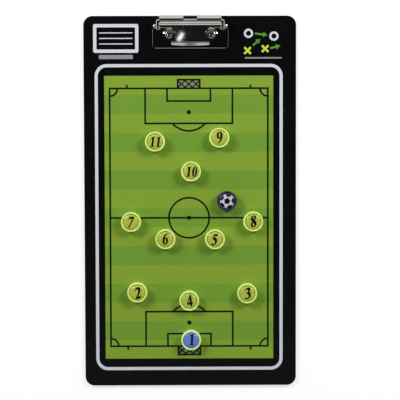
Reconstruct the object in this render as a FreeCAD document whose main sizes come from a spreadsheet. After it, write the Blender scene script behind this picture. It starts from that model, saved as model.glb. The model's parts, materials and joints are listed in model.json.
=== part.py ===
"""Tactics board: a football coach's clipboard with a lever clip and magnetic counters.

The board lies on its back. X runs across it, Y runs up the pitch towards the clip and
Z comes out of the printed face. The origin is under the middle of the board, in the
plane of its back. All sizes are in millimetres.
"""
import FreeCAD
import Part
import math
import os
import Sketcher
from FreeCAD import Vector

SIZES = {
    # Board: a stiff core between two thin sheets, with a steel sheet let into its top
    "board_width": 230.0,
    "board_length": 402.0,
    "board_corner": 10.0,
    "back_thickness": 0.4,
    "core_thickness": 2.6,
    "face_thickness": 0.4,
    "steel_thickness": 0.5,
    "steel_margin": 8.0,
    "steel_corner": 6.0,
    "steel_fit": 0.1,
    # Print: green pitch, black markings and the pale line round them
    "print_thickness": 0.08,
    "line_thickness": 0.06,
    "print_shift_x": -1.3,
    "frame_side_margin": 13.2,
    "frame_bottom_margin": 16.85,
    "frame_clip_gap": 16.95,
    "frame_corner": 13.0,
    "frame_line_width": 3.4,
    "pitch_gap_side": 6.9,
    "pitch_gap_end": 9.25,
    "field_margin_side": 5.85,
    "field_margin_end": 13.6,
    "line_width": 1.9,
    "circle_radius": 21.85,
    "spot_radius": 2.3,
    "penalty_width": 94.6,
    "penalty_depth": 37.9,
    "penalty_spot": 25.8,
    "penalty_arc": 23.6,
    "penalty_arc_centre": 22.4,
    "goal_area_width": 47.0,
    "goal_area_depth": 13.7,
    "goal_width": 23.8,
    "goal_depth": 9.3,
    "net_line_width": 2.0,
    "corner_arc": 8.4,
    "tick_place": 66.9,
    "tick_length": 3.0,
    # Clip base: the riveted plate with two ears for the pin
    "clip_shift": 0.6,
    "pin_setback": 11.4,
    "base_thickness": 1.0,
    "base_width": 82.0,
    "base_front": 23.5,
    "base_step_back": 0.8,
    "base_rear": 7.5,
    "base_corner": 3.3,
    "base_ear_width": 6.8,
    "base_ear_above": 3.2,
    "boss_radius": 6.7,
    "boss_height": 0.4,
    # Rivets through the clip base and the board
    "rivet_setback": 20.1,
    "rivet_inset": 18.3,
    "rivet_radius": 2.0,
    "rivet_fit": 0.06,
    "rivet_head_radius": 4.4,
    "rivet_head_height": 1.7,
    "rivet_dimple_radius": 1.7,
    "rivet_dimple_depth": 0.9,
    "rivet_flange_radius": 4.2,
    "rivet_flange_thickness": 0.8,
    "rivet_recess": 0.1,
    # Pivot pin
    "pin_radius": 1.25,
    "pin_rise": 4.2,
    "pin_press_fit": 0.02,
    "pin_running_fit": 0.08,
    "pin_head_radius": 1.9,
    "pin_head_length": 3.0,
    "pin_end_play": 0.15,
    # Lever: one bent plate, with its lip at the front and its thumb tab at the back
    "lever_thickness": 0.9,
    "jaw_gap": 0.1,
    "lip_reach": 21.2,
    "lip_rise": 2.5,
    "lip_bend": 1.6,
    "lip_bow": 1.1,
    "lip_inset": 2.1,
    "lip_corner": 1.2,
    "jaw_reach": 17.3,
    "neck_place": 0.8,
    "neck_rise": 4.16,
    "neck_bend": 1.0,
    "step_place": 2.05,
    "step_drop": 0.1,
    "step_bend": 0.6,
    "ridge_foot": 2.65,
    "ridge_place": 4.6,
    "ridge_rise": 1.65,
    "ridge_bend": 0.9,
    "ridge_side_gap": 0.4,
    "notch_end": 5.2,
    "bridge_rise": 5.4,
    "shoulder_place": 6.9,
    "tab_place": 6.8,
    "tab_reach": 10.3,
    "tab_rise": 3.45,
    "tab_bend": 1.0,
    "tab_inset": 3.9,
    "tab_corner": 2.0,
    "hang_slot_width": 15.0,
    "hang_slot_near": 7.35,
    "hang_slot_far": 9.75,
    "hang_slot_corner": 1.1,
    "cutout_radius": 7.2,
    "lever_ear_inset": 3.8,
    "lever_ear_gap": 2.3,
    "lever_ear_radius": 3.3,
    "lever_ear_front": 3.4,
    "lever_ear_back": 7.0,
    "lever_ear_bend": 1.8,
    "lever_ear_fold": 2.4,
    "relief_gap": 1.6,
    # Torsion spring on the pin
    "wire_radius": 0.55,
    "coil_play": 0.3,
    "coil_pitch": 1.65,
    "coil_turns": 7,
    "leg_gap": 0.12,
    "base_leg_slope": 35.0,
    # Counters: a moulded cap over a disc magnet, with a pillowed face set in its rim
    "counter_diameter": 22.0,
    "counter_height": 8.0,
    "counter_draft": 0.35,
    "counter_rim": 2.1,
    "counter_rim_round": 0.7,
    "counter_recess": 1.8,
    "counter_base_round": 0.4,
    "face_fit": 0.08,
    "face_edge": 0.3,
    "face_crown": 1.7,
    "face_shoulder": 1.4,
    "face_round": 4.5,
    "magnet_diameter": 16.0,
    "magnet_thickness": 5.0,
    "magnet_edge": 0.4,
    "magnet_fit": 0.1,
}

# Where each counter stands: X from the line named first, Y from the line named second
HOMES = {
    "keeper_1": ("middle", 1.9, "goal line", 7.2),
    "player_2": ("left side line", 29.15, "goal line", 59.4),
    "player_3": ("right side line", -22.75, "goal line", 58.1),
    "player_4": ("middle", -0.1, "goal line", 50.3),
    "player_5": ("middle", 28.0, "halfway line", -23.3),
    "player_6": ("middle", -25.7, "halfway line", -23.1),
    "player_7": ("left side line", 22.65, "halfway line", -4.3),
    "player_8": ("right side line", -16.15, "halfway line", -4.1),
    "player_9": ("right side line", -52.75, "halfway line", 86.7),
    "player_10": ("middle", 2.2, "halfway line", 50.3),
    "player_11": ("left side line", 48.95, "halfway line", 82.6),
    "ball": ("middle", 41.2, "halfway line", 18.3),
}

# Shares of a size that a rounding takes
ROUND_SHARE = 0.94
RIVET_CROWN_SHARE = 0.75
RIVET_DIMPLE_SHARE = 0.5

# Slope of the rivet bosses' sides in degrees, and how close two lengths count as equal
BOSS_TAPER = -65
CLOSE = 0.01

# Indices that a sketch gives to the points of its geometry and to its own origin
START_INDEX, END_INDEX, CENTRE_INDEX = 1, 2, 3
ORIGIN_INDEX = -1
UP = Vector(0, 0, 1)

# Heights and places that several pieces share
FACE_TOP = "(Sizes.back_thickness + Sizes.core_thickness + Sizes.face_thickness)"
COUNTER_FLOOR = f"({FACE_TOP} + Sizes.print_thickness + Sizes.line_thickness)"
PIN_Y = "(Sizes.board_length / 2 - Sizes.pin_setback)"
RIVET_Y = "(Sizes.board_length / 2 - Sizes.rivet_setback)"
RIVET_X = "(Sizes.base_width / 2 - Sizes.rivet_inset)"
RIVET_OFFSET = "(Sizes.pin_setback - Sizes.rivet_setback)"
PIN_HEIGHT = "(Sizes.base_thickness + Sizes.pin_rise)"
BRIDGE_HEIGHT = f"({PIN_HEIGHT} + Sizes.bridge_rise)"
JAW_HEIGHT = "(Sizes.base_thickness + Sizes.jaw_gap + Sizes.lever_thickness / 2)"
LEVER_SIDE = "(Sizes.base_width / 2 - Sizes.lever_ear_inset)"
BASE_EAR_SIDE = f"({LEVER_SIDE} - Sizes.lever_thickness - Sizes.lever_ear_gap)"
RIDGE_SIDE = f"({BASE_EAR_SIDE} - Sizes.base_thickness - Sizes.ridge_side_gap)"
TAB_SIDE = f"({LEVER_SIDE} - Sizes.tab_inset)"
LIP_SIDE = f"({RIVET_X} - Sizes.lip_inset)"
COIL_RADIUS = "(Sizes.pin_radius + Sizes.coil_play + Sizes.wire_radius)"
CLEAR_OF_ALL = "(Sizes.board_width / 2)"

# The print: the frame keeps clear of the edges and the clip, the pitch of the frame
FRAME_TOP_MARGIN = "(Sizes.pin_setback + Sizes.base_front + Sizes.frame_clip_gap)"
FRAME_WIDTH = "(Sizes.board_width - 2 * Sizes.frame_side_margin)"
FRAME_LENGTH = f"(Sizes.board_length - {FRAME_TOP_MARGIN} - Sizes.frame_bottom_margin)"
PRINT_Y = f"((Sizes.frame_bottom_margin - {FRAME_TOP_MARGIN}) / 2)"
PITCH_WIDTH = f"({FRAME_WIDTH} - 2 * (Sizes.frame_line_width + Sizes.pitch_gap_side))"
PITCH_LENGTH = f"({FRAME_LENGTH} - 2 * (Sizes.frame_line_width + Sizes.pitch_gap_end))"
FIELD_WIDTH = f"({PITCH_WIDTH} - 2 * Sizes.field_margin_side)"
FIELD_LENGTH = f"({PITCH_LENGTH} - 2 * Sizes.field_margin_end)"
GOAL_LINE = f"({FIELD_LENGTH} / 2)"
SIDE_LINE = f"({FIELD_WIDTH} / 2)"
HALF_LINE = "(Sizes.line_width / 2)"

doc = FreeCAD.newDocument("tactics_board")
sheet = doc.addObject("Spreadsheet::Sheet", "Sizes")
for row, (alias, number) in enumerate(SIZES.items(), start=1):
    sheet.set(f"A{row}", alias)
    sheet.set(f"B{row}", str(number))
    sheet.setAlias(f"B{row}", alias)
doc.recompute()

subparts = []


def value(text):
    """Return what an expression on the sheet comes to."""
    return float(sheet.evalExpression(text))


# Sketch helpers

def bind(sketch, kind, *target):
    """Add a dimension to a sketch; its last argument is the expression that drives it."""
    text = target[-1]
    index = sketch.addConstraint(Sketcher.Constraint(kind, *target[:-1], value(text)))
    sketch.setExpression(f"Constraints[{index}]", text)


def hold(sketch, geometry, point, x=None, y=None):
    """Tie a point of a sketch to the coordinates that two expressions give."""
    if x is not None:
        bind(sketch, "DistanceX", ORIGIN_INDEX, START_INDEX, geometry, point, x)
    if y is not None:
        bind(sketch, "DistanceY", ORIGIN_INDEX, START_INDEX, geometry, point, y)


def join(sketch, first, first_point, second, second_point):
    sketch.addConstraint(Sketcher.Constraint("Coincident", first, first_point, second, second_point))


def arc_between(centre, radius, first, last):
    """Return the arc that runs anticlockwise from one point to another."""
    begin = math.atan2(first.y - centre.y, first.x - centre.x)
    finish = math.atan2(last.y - centre.y, last.x - centre.x)
    if finish <= begin:
        finish += 2 * math.pi
    return Part.ArcOfCircle(Part.Circle(centre, UP, radius), begin, finish)


def round_corner(sketch, before, after, corner, entry, leave, left_turn, middle):
    """Join two runs by a tangent arc; the runs still aim at the corner point."""
    x, y, radius = corner
    point = sketch.addGeometry(Part.Point(Vector(value(x), value(y), 0)), True)
    hold(sketch, point, START_INDEX, x, y)
    if left_turn:
        arc = sketch.addGeometry(arc_between(middle, value(radius), entry, leave))
        arrive, depart = START_INDEX, END_INDEX
    else:
        arc = sketch.addGeometry(arc_between(middle, value(radius), leave, entry))
        arrive, depart = END_INDEX, START_INDEX
    sketch.addConstraint(Sketcher.Constraint("Tangent", before, END_INDEX, arc, arrive))
    sketch.addConstraint(Sketcher.Constraint("Tangent", arc, depart, after, START_INDEX))
    sketch.addConstraint(Sketcher.Constraint("PointOnObject", point, START_INDEX, before))
    sketch.addConstraint(Sketcher.Constraint("PointOnObject", point, START_INDEX, after))
    bind(sketch, "Radius", arc, radius)


def trace(sketch, corners, closed=True):
    """Draw straight runs from corner to corner, each (x, y) or, rounded, (x, y, radius)."""
    points = [Vector(value(corner[0]), value(corner[1]), 0) for corner in corners]
    count = len(corners)
    entries = list(points)
    leaves = list(points)
    bends = {}
    for i, corner in enumerate(corners):
        if len(corner) == 3:
            back = (points[i - 1] - points[i]).normalize()
            ahead = (points[(i + 1) % count] - points[i]).normalize()
            half_angle = back.getAngle(ahead) / 2
            radius = value(corner[2])
            entries[i] = points[i] + back * (radius / math.tan(half_angle))
            leaves[i] = points[i] + ahead * (radius / math.tan(half_angle))
            middle = points[i] + (back + ahead).normalize() * (radius / math.sin(half_angle))
            bends[i] = (back.cross(ahead).z < 0, middle)
    runs = count if closed else count - 1
    lines = []
    for i in range(runs):
        lines.append(sketch.addGeometry(Part.LineSegment(leaves[i], entries[(i + 1) % count])))
    for i, corner in enumerate(corners):
        if not closed and i == 0:
            hold(sketch, lines[0], START_INDEX, *corner)
        elif not closed and i == count - 1:
            hold(sketch, lines[-1], END_INDEX, *corner)
        elif i in bends:
            left_turn, middle = bends[i]
            round_corner(sketch, lines[i - 1], lines[i], corner, entries[i], leaves[i], left_turn, middle)
        else:
            join(sketch, lines[i - 1], END_INDEX, lines[i], START_INDEX)
            hold(sketch, lines[i], START_INDEX, *corner)


def rectangle(sketch, left, bottom, right, top, radius=None):
    """Draw a rectangle, with rounded corners where a radius is given."""
    ending = () if radius is None else (radius,)
    places = ((left, bottom), (right, bottom), (right, top), (left, top))
    trace(sketch, [place + ending for place in places])


def centred_rectangle(sketch, width, length, radius=None):
    rectangle(
        sketch,
        f"-({width}) / 2",
        f"-({length}) / 2",
        f"({width}) / 2",
        f"({length}) / 2",
        radius,
    )


def circle(sketch, x, y, radius):
    middle = Vector(value(x), value(y), 0)
    index = sketch.addGeometry(Part.Circle(middle, UP, value(radius)))
    hold(sketch, index, CENTRE_INDEX, x, y)
    bind(sketch, "Radius", index, radius)


# Body helpers

def new_body(label, x="0", y="0", z="0"):
    """Start a sub-part whose own origin stands at the given place on the board."""
    body = doc.addObject("PartDesign::Body", label)
    body.Label = label
    for axis, text in zip("xyz", (x, y, z)):
        body.setExpression(f"Placement.Base.{axis}", text)
    subparts.append(body)
    return body


def origin_plane(body, role):
    return next(feature for feature in body.Origin.OriginFeatures if feature.Role == role)


def new_sketch(body, name, role="XY_Plane", offset="0"):
    """Add a sketch on one of the body's origin planes, moved along the plane's normal."""
    sketch = body.newObject("Sketcher::SketchObject", name)
    sketch.AttachmentSupport = (origin_plane(body, role), "")
    sketch.MapMode = "FlatFace"
    sketch.setExpression("AttachmentOffset.Base.z", offset)
    return sketch


def pad(body, sketch, length):
    feature = body.newObject("PartDesign::Pad", sketch.Name + "_pad")
    feature.Profile = sketch
    feature.setExpression("Length", length)
    doc.recompute()
    return feature


def cut(body, sketch, depth=None):
    """Cut a sketch through the whole body, or to a depth against the sketch's normal."""
    before = body.Shape.Volume
    feature = body.newObject("PartDesign::Pocket", sketch.Name + "_cut")
    feature.Profile = sketch
    if depth is None:
        feature.Type = "ThroughAll"
        feature.SideType = "Symmetric"
    else:
        feature.setExpression("Length", depth)
    doc.recompute()
    if body.Shape.Volume >= before:
        raise RuntimeError(f"{sketch.Name} cut nothing")
    return feature


def revolve(body, sketch, axis="V_Axis"):
    feature = body.newObject("PartDesign::Revolution", sketch.Name + "_revolution")
    feature.Profile = sketch
    feature.ReferenceAxis = (sketch, [axis])
    feature.Angle = 360
    doc.recompute()
    return feature


def mirror(body, features, role):
    """Repeat features on the other side of one of the body's origin planes."""
    feature = body.newObject("PartDesign::Mirrored", features[0].Name + "_mirror")
    feature.Originals = features
    feature.MirrorPlane = (origin_plane(body, role), [""])
    body.Tip = feature
    doc.recompute()
    return feature


def round_edges(body, radius, wanted):
    """Fillet the edges of the finished body that the test function picks."""
    base = body.Tip
    names = [f"Edge{i}" for i, edge in enumerate(base.Shape.Edges, start=1) if wanted(edge)]
    if not names:
        raise RuntimeError(f"{body.Label} has no edge to round")
    feature = body.newObject("PartDesign::Fillet", body.Label + "_round")
    feature.Base = (base, names)
    feature.setExpression("Radius", radius)
    doc.recompute()
    return feature


# Board

def drill_for_rivets(body, name, radius):
    """Cut the two rivet holes through a sheet that is centred on the board."""
    sketch = new_sketch(body, name)
    for side in ("-", ""):
        circle(sketch, f"Sizes.clip_shift + {side}{RIVET_X}", RIVET_Y, radius)
    cut(body, sketch)


def board_sheet(label, bottom, thickness, hole_radius):
    """Make one full-size sheet of the board, drilled for the rivets."""
    body = new_body(label, z=bottom)
    sketch = new_sketch(body, label + "_outline")
    centred_rectangle(sketch, "Sizes.board_width", "Sizes.board_length", "Sizes.board_corner")
    pad(body, sketch, thickness)
    drill_for_rivets(body, label + "_holes", hole_radius)
    return body


def make_board():
    shank_hole = "Sizes.rivet_radius + Sizes.rivet_fit"
    flange_hole = "Sizes.rivet_flange_radius + Sizes.rivet_fit"
    board_sheet("back_sheet", "0", "Sizes.back_thickness", flange_hole)

    core = board_sheet("core_board", "Sizes.back_thickness", "Sizes.core_thickness", shank_hole)
    steel_width = "Sizes.board_width - 2 * Sizes.steel_margin"
    steel_length = "Sizes.board_length - 2 * Sizes.steel_margin"
    bed = new_sketch(core, "steel_bed", offset="Sizes.core_thickness")
    centred_rectangle(
        bed,
        f"{steel_width} + 2 * Sizes.steel_fit",
        f"{steel_length} + 2 * Sizes.steel_fit",
        "Sizes.steel_corner + Sizes.steel_fit",
    )
    cut(core, bed, "Sizes.steel_thickness")
    sink_depth = "Sizes.rivet_recess + Sizes.rivet_flange_thickness - Sizes.back_thickness"
    sink = new_sketch(core, "flange_sink", offset=sink_depth)
    for side in ("-", ""):
        circle(sink, f"Sizes.clip_shift + {side}{RIVET_X}", RIVET_Y, flange_hole)
    cut(core, sink, sink_depth)

    steel = new_body(
        "steel_sheet",
        z="Sizes.back_thickness + Sizes.core_thickness - Sizes.steel_thickness",
    )
    sketch = new_sketch(steel, "steel_outline")
    centred_rectangle(sketch, steel_width, steel_length, "Sizes.steel_corner")
    pad(steel, sketch, "Sizes.steel_thickness")
    drill_for_rivets(steel, "steel_holes", shank_hole)

    face_bottom = "Sizes.back_thickness + Sizes.core_thickness"
    board_sheet("face_sheet", face_bottom, "Sizes.face_thickness", shank_hole)


# Print on the face

def make_frame_line():
    body = new_body("frame_line", "Sizes.print_shift_x", PRINT_Y, FACE_TOP)
    sketch = new_sketch(body, "frame_band")
    centred_rectangle(sketch, FRAME_WIDTH, FRAME_LENGTH, "Sizes.frame_corner")
    centred_rectangle(
        sketch,
        f"{FRAME_WIDTH} - 2 * Sizes.frame_line_width",
        f"{FRAME_LENGTH} - 2 * Sizes.frame_line_width",
        "Sizes.frame_corner - Sizes.frame_line_width",
    )
    pad(body, sketch, "Sizes.print_thickness")


def make_pitch_print():
    body = new_body("pitch_print", "Sizes.print_shift_x", PRINT_Y, FACE_TOP)
    sketch = new_sketch(body, "pitch_field")
    centred_rectangle(sketch, PITCH_WIDTH, PITCH_LENGTH)
    pad(body, sketch, "Sizes.print_thickness")


def box_lines(sketch, width, far):
    """Draw the three-sided line of a box that stands on the goal line."""
    outward = f"({far} > {GOAL_LINE} ? 1 : -1)"
    outer = f"({width} / 2 + {HALF_LINE})"
    inner = f"({width} / 2 - {HALF_LINE})"
    outer_far = f"{far} + {outward} * {HALF_LINE}"
    inner_far = f"{far} - {outward} * {HALF_LINE}"
    trace(
        sketch,
        [
            (f"-{outer}", GOAL_LINE),
            (f"-{outer}", outer_far),
            (outer, outer_far),
            (outer, GOAL_LINE),
            (inner, GOAL_LINE),
            (inner, inner_far),
            (f"-{inner}", inner_far),
            (f"-{inner}", GOAL_LINE),
        ],
    )


def net_zigzag(sketch, first_level):
    """Draw one zigzag of the goal net; two of them that start at opposite levels cross."""
    near = f"{GOAL_LINE} + {HALF_LINE}"
    far = f"{GOAL_LINE} + Sizes.goal_depth - {HALF_LINE}"
    levels = (near, far) if first_level == "near" else (far, near)
    cells = 3
    upper = []
    lower = []
    for i in range(cells + 1):
        x = f"Sizes.goal_width * ({i} / {cells} - 1 / 2)"
        upper.append((x, f"{levels[i % 2]} + Sizes.net_line_width / 2"))
        lower.append((x, f"{levels[i % 2]} - Sizes.net_line_width / 2"))
    trace(sketch, lower + upper[::-1])


def arc_band(sketch, centre_x, centre_y, radius, first_end, last_end):
    """Draw a curved line that starts and ends on a level or a side.

    Each end is ("x" or "y", expression, guess): the line that the arc stops at, and a
    number for the other coordinate that tells its two crossings apart.
    """
    middle = Vector(value(centre_x), value(centre_y), 0)
    ends = []
    arcs = []
    for text in (f"{radius} + {HALF_LINE}", f"{radius} - {HALF_LINE}"):
        reach = value(text)
        places = []
        for axis, stop, guess in (first_end, last_end):
            level = value(stop)
            if axis == "y":
                span = math.sqrt(reach ** 2 - (level - middle.y) ** 2)
                places.append(Vector(middle.x + math.copysign(span, guess), level, 0))
            else:
                span = math.sqrt(reach ** 2 - (level - middle.x) ** 2)
                places.append(Vector(level, middle.y + math.copysign(span, guess), 0))
        arc = sketch.addGeometry(arc_between(middle, reach, *places))
        hold(sketch, arc, CENTRE_INDEX, centre_x, centre_y)
        bind(sketch, "Radius", arc, text)
        for point, (axis, stop, guess) in zip((START_INDEX, END_INDEX), (first_end, last_end)):
            hold(sketch, arc, point, **{axis: stop})
        arcs.append(arc)
        ends.append(places)
    for point, outer, inner in zip((START_INDEX, END_INDEX), *ends):
        line = sketch.addGeometry(Part.LineSegment(outer, inner))
        join(sketch, line, START_INDEX, arcs[0], point)
        join(sketch, line, END_INDEX, arcs[1], point)


def make_pitch_markings():
    body = new_body(
        "pitch_markings",
        "Sizes.print_shift_x",
        PRINT_Y,
        f"{FACE_TOP} + Sizes.print_thickness",
    )

    def mark(name, draw, *arguments):
        sketch = new_sketch(body, name)
        draw(sketch, *arguments)
        return pad(body, sketch, "Sizes.line_thickness")

    def boundary(sketch):
        for side in ("+", "-"):
            width = f"{FIELD_WIDTH} {side} Sizes.line_width"
            length = f"{FIELD_LENGTH} {side} Sizes.line_width"
            centred_rectangle(sketch, width, length)

    def ring(sketch):
        circle(sketch, "0", "0", f"Sizes.circle_radius + {HALF_LINE}")
        circle(sketch, "0", "0", f"Sizes.circle_radius - {HALF_LINE}")

    def corner_arcs(sketch):
        radius = "Sizes.corner_arc"
        left = f"-{SIDE_LINE}"
        arc_band(sketch, SIDE_LINE, GOAL_LINE, radius, ("y", GOAL_LINE, -1), ("x", SIDE_LINE, -1))
        arc_band(sketch, left, GOAL_LINE, radius, ("x", left, -1), ("y", GOAL_LINE, 1))

    def ticks(sketch):
        top = f"{GOAL_LINE} + {HALF_LINE} + Sizes.tick_length"
        for side in ("-", ""):
            place = f"{side}Sizes.tick_place"
            rectangle(sketch, f"{place} - {HALF_LINE}", GOAL_LINE, f"{place} + {HALF_LINE}", top)

    mark("boundary_lines", boundary)
    mark("halfway_line", centred_rectangle, FIELD_WIDTH, "Sizes.line_width")
    mark("centre_circle", ring)
    mark("centre_spot", circle, "0", "0", "Sizes.spot_radius")
    spot = f"({GOAL_LINE} - Sizes.penalty_spot)"
    penalty_edge = f"({GOAL_LINE} - Sizes.penalty_depth)"
    half = [
        mark("penalty_area", box_lines, "Sizes.penalty_width", penalty_edge),
        mark("goal_area", box_lines, "Sizes.goal_area_width", f"({GOAL_LINE} - Sizes.goal_area_depth)"),
        mark("goal", box_lines, "Sizes.goal_width", f"({GOAL_LINE} + Sizes.goal_depth)"),
        mark("net_rising", net_zigzag, "near"),
        mark("net_falling", net_zigzag, "far"),
        mark(
            "penalty_arc",
            arc_band,
            "0",
            f"({GOAL_LINE} - Sizes.penalty_arc_centre)",
            "Sizes.penalty_arc",
            ("y", penalty_edge, -1),
            ("y", penalty_edge, 1),
        ),
        mark("penalty_spot", circle, "0", spot, "Sizes.spot_radius"),
        mark("corner_arcs", corner_arcs),
        mark("ticks", ticks),
    ]
    mirror(body, half, "XZ_Plane")


# Clip

def make_clip_base():
    body = new_body("clip_base", "Sizes.clip_shift", PIN_Y, FACE_TOP)
    wide = "Sizes.base_width / 2"
    right = [
        (wide, "-Sizes.base_front", "Sizes.base_corner"),
        (wide, "-Sizes.base_step_back", "Sizes.base_corner"),
        (BASE_EAR_SIDE, "-Sizes.base_step_back"),
        (BASE_EAR_SIDE, "Sizes.base_rear", "Sizes.base_corner"),
    ]
    left = [(f"-{corner[0]}",) + corner[1:] for corner in reversed(right)]
    plate = new_sketch(body, "base_outline")
    trace(plate, right + left)
    pad(body, plate, "Sizes.base_thickness")

    ear = new_sketch(body, "base_ear", "YZ_Plane", f"{BASE_EAR_SIDE} - Sizes.base_thickness")
    ear_half = "(Sizes.base_ear_width / 2)"
    ear_top = f"{PIN_HEIGHT} + Sizes.base_ear_above"
    ear_round = f"{ear_half} * {ROUND_SHARE}"
    trace(
        ear,
        [
            (f"-{ear_half}", "0"),
            (ear_half, "0"),
            (ear_half, ear_top, ear_round),
            (f"-{ear_half}", ear_top, ear_round),
        ],
    )
    mirror(body, [pad(body, ear, "Sizes.base_thickness")], "YZ_Plane")

    boss = new_sketch(body, "rivet_boss", offset="Sizes.base_thickness")
    for side in ("-", ""):
        circle(boss, f"{side}{RIVET_X}", RIVET_OFFSET, "Sizes.boss_radius")
    raised = pad(body, boss, "Sizes.boss_height")
    raised.TaperAngle = BOSS_TAPER
    doc.recompute()

    holes = new_sketch(body, "base_rivet_holes")
    for side in ("-", ""):
        circle(holes, f"{side}{RIVET_X}", RIVET_OFFSET, "Sizes.rivet_radius + Sizes.rivet_fit")
    cut(body, holes)
    eyes = new_sketch(body, "base_pin_eyes", "YZ_Plane")
    circle(eyes, "0", PIN_HEIGHT, "Sizes.pin_radius + Sizes.pin_press_fit")
    cut(body, eyes)


def cut_beside_jaw(body):
    """Cut the plate back beside the jaw, with a round bay about each rivet."""
    sketch = new_sketch(body, "jaw_bay")
    bay_y = RIVET_OFFSET
    bay_top = f"({RIVET_OFFSET} + Sizes.cutout_radius)"
    front = f"-{CLEAR_OF_ALL}"
    middle = Vector(value(RIVET_X), value(bay_y), 0)
    radius = value("Sizes.cutout_radius")
    drop = math.sqrt(radius ** 2 - (value(LIP_SIDE) - middle.x) ** 2)
    bay_start = middle + Vector(0, radius, 0)
    bay_end = Vector(value(LIP_SIDE), middle.y - drop, 0)

    arc = sketch.addGeometry(arc_between(middle, radius, bay_start, bay_end))
    hold(sketch, arc, CENTRE_INDEX, RIVET_X, bay_y)
    bind(sketch, "Radius", arc, "Sizes.cutout_radius")
    hold(sketch, arc, START_INDEX, x=RIVET_X)
    hold(sketch, arc, END_INDEX, x=LIP_SIDE)

    corners = [
        (LIP_SIDE, front),
        (CLEAR_OF_ALL, front),
        (CLEAR_OF_ALL, "Sizes.notch_end"),
        (RIDGE_SIDE, "Sizes.notch_end"),
        (RIDGE_SIDE, bay_top),
    ]
    places = [Vector(value(x), value(y), 0) for x, y in corners]
    last = sketch.addGeometry(Part.LineSegment(bay_end, places[0]))
    join(sketch, arc, END_INDEX, last, START_INDEX)
    hold(sketch, last, END_INDEX, *corners[0])
    for i in range(1, len(corners)):
        line = sketch.addGeometry(Part.LineSegment(places[i - 1], places[i]))
        join(sketch, last, END_INDEX, line, START_INDEX)
        hold(sketch, line, END_INDEX, *corners[i])
        last = line
    closing = sketch.addGeometry(Part.LineSegment(places[-1], bay_start))
    join(sketch, last, END_INDEX, closing, START_INDEX)
    join(sketch, closing, END_INDEX, arc, START_INDEX)
    mirror(body, [cut(body, sketch)], "YZ_Plane")


def cut_shoulders(body):
    """Round the plate and its ears off from the side of the tab."""
    sketch = new_sketch(body, "shoulder")
    radius = "Sizes.tab_inset"
    top = "Sizes.shoulder_place"
    low = f"({top} - {radius})"
    middle = Vector(value(TAB_SIDE), value(low), 0)
    arc_start = Vector(value(LEVER_SIDE), value(low), 0)
    arc_end = Vector(value(TAB_SIDE), value(top), 0)
    arc = sketch.addGeometry(arc_between(middle, value(radius), arc_start, arc_end))
    hold(sketch, arc, CENTRE_INDEX, TAB_SIDE, low)
    hold(sketch, arc, START_INDEX, LEVER_SIDE, low)
    hold(sketch, arc, END_INDEX, x=TAB_SIDE)

    corners = [
        (TAB_SIDE, CLEAR_OF_ALL),
        (CLEAR_OF_ALL, CLEAR_OF_ALL),
        (CLEAR_OF_ALL, low),
    ]
    last, last_point, last_place = arc, END_INDEX, arc_end
    for x, y in corners:
        place = Vector(value(x), value(y), 0)
        line = sketch.addGeometry(Part.LineSegment(last_place, place))
        join(sketch, last, last_point, line, START_INDEX)
        hold(sketch, line, END_INDEX, x, y)
        last, last_point, last_place = line, END_INDEX, place
    closing = sketch.addGeometry(Part.LineSegment(last_place, arc_start))
    join(sketch, last, END_INDEX, closing, START_INDEX)
    join(sketch, closing, END_INDEX, arc, START_INDEX)
    mirror(body, [cut(body, sketch)], "YZ_Plane")


def add_lever_ears(body):
    """Fold an ear down at each side of the bridge, to hang on the pin."""
    inner_face = f"({LEVER_SIDE} - Sizes.lever_thickness)"
    flange_edge = f"{RIDGE_SIDE} + Sizes.relief_gap"
    upper = f"({BRIDGE_HEIGHT} + Sizes.lever_thickness / 2)"
    under = f"({BRIDGE_HEIGHT} - Sizes.lever_thickness / 2)"
    fold_end = f"({under} - Sizes.lever_ear_fold)"
    fold = new_sketch(body, "ear_fold", "XZ_Plane", "-Sizes.lever_ear_back")
    trace(
        fold,
        [
            (flange_edge, under),
            (inner_face, under, "Sizes.lever_ear_bend"),
            (inner_face, fold_end),
            (LEVER_SIDE, fold_end),
            (LEVER_SIDE, upper, "Sizes.lever_ear_bend + Sizes.lever_thickness"),
            (flange_edge, upper),
        ],
    )
    mirror(body, [pad(body, fold, "Sizes.lever_ear_front + Sizes.lever_ear_back")], "YZ_Plane")

    ear = new_sketch(body, "hanging_ear", "YZ_Plane", inner_face)
    bottom = f"({PIN_HEIGHT} - Sizes.lever_ear_radius)"
    ear_round = f"Sizes.lever_ear_radius * {ROUND_SHARE}"
    trace(
        ear,
        [
            ("-Sizes.lever_ear_front", fold_end),
            ("-Sizes.lever_ear_radius", bottom, ear_round),
            ("Sizes.lever_ear_radius", bottom, ear_round),
            ("Sizes.lever_ear_back", fold_end),
        ],
    )
    mirror(body, [pad(body, ear, "Sizes.lever_thickness")], "YZ_Plane")


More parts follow.
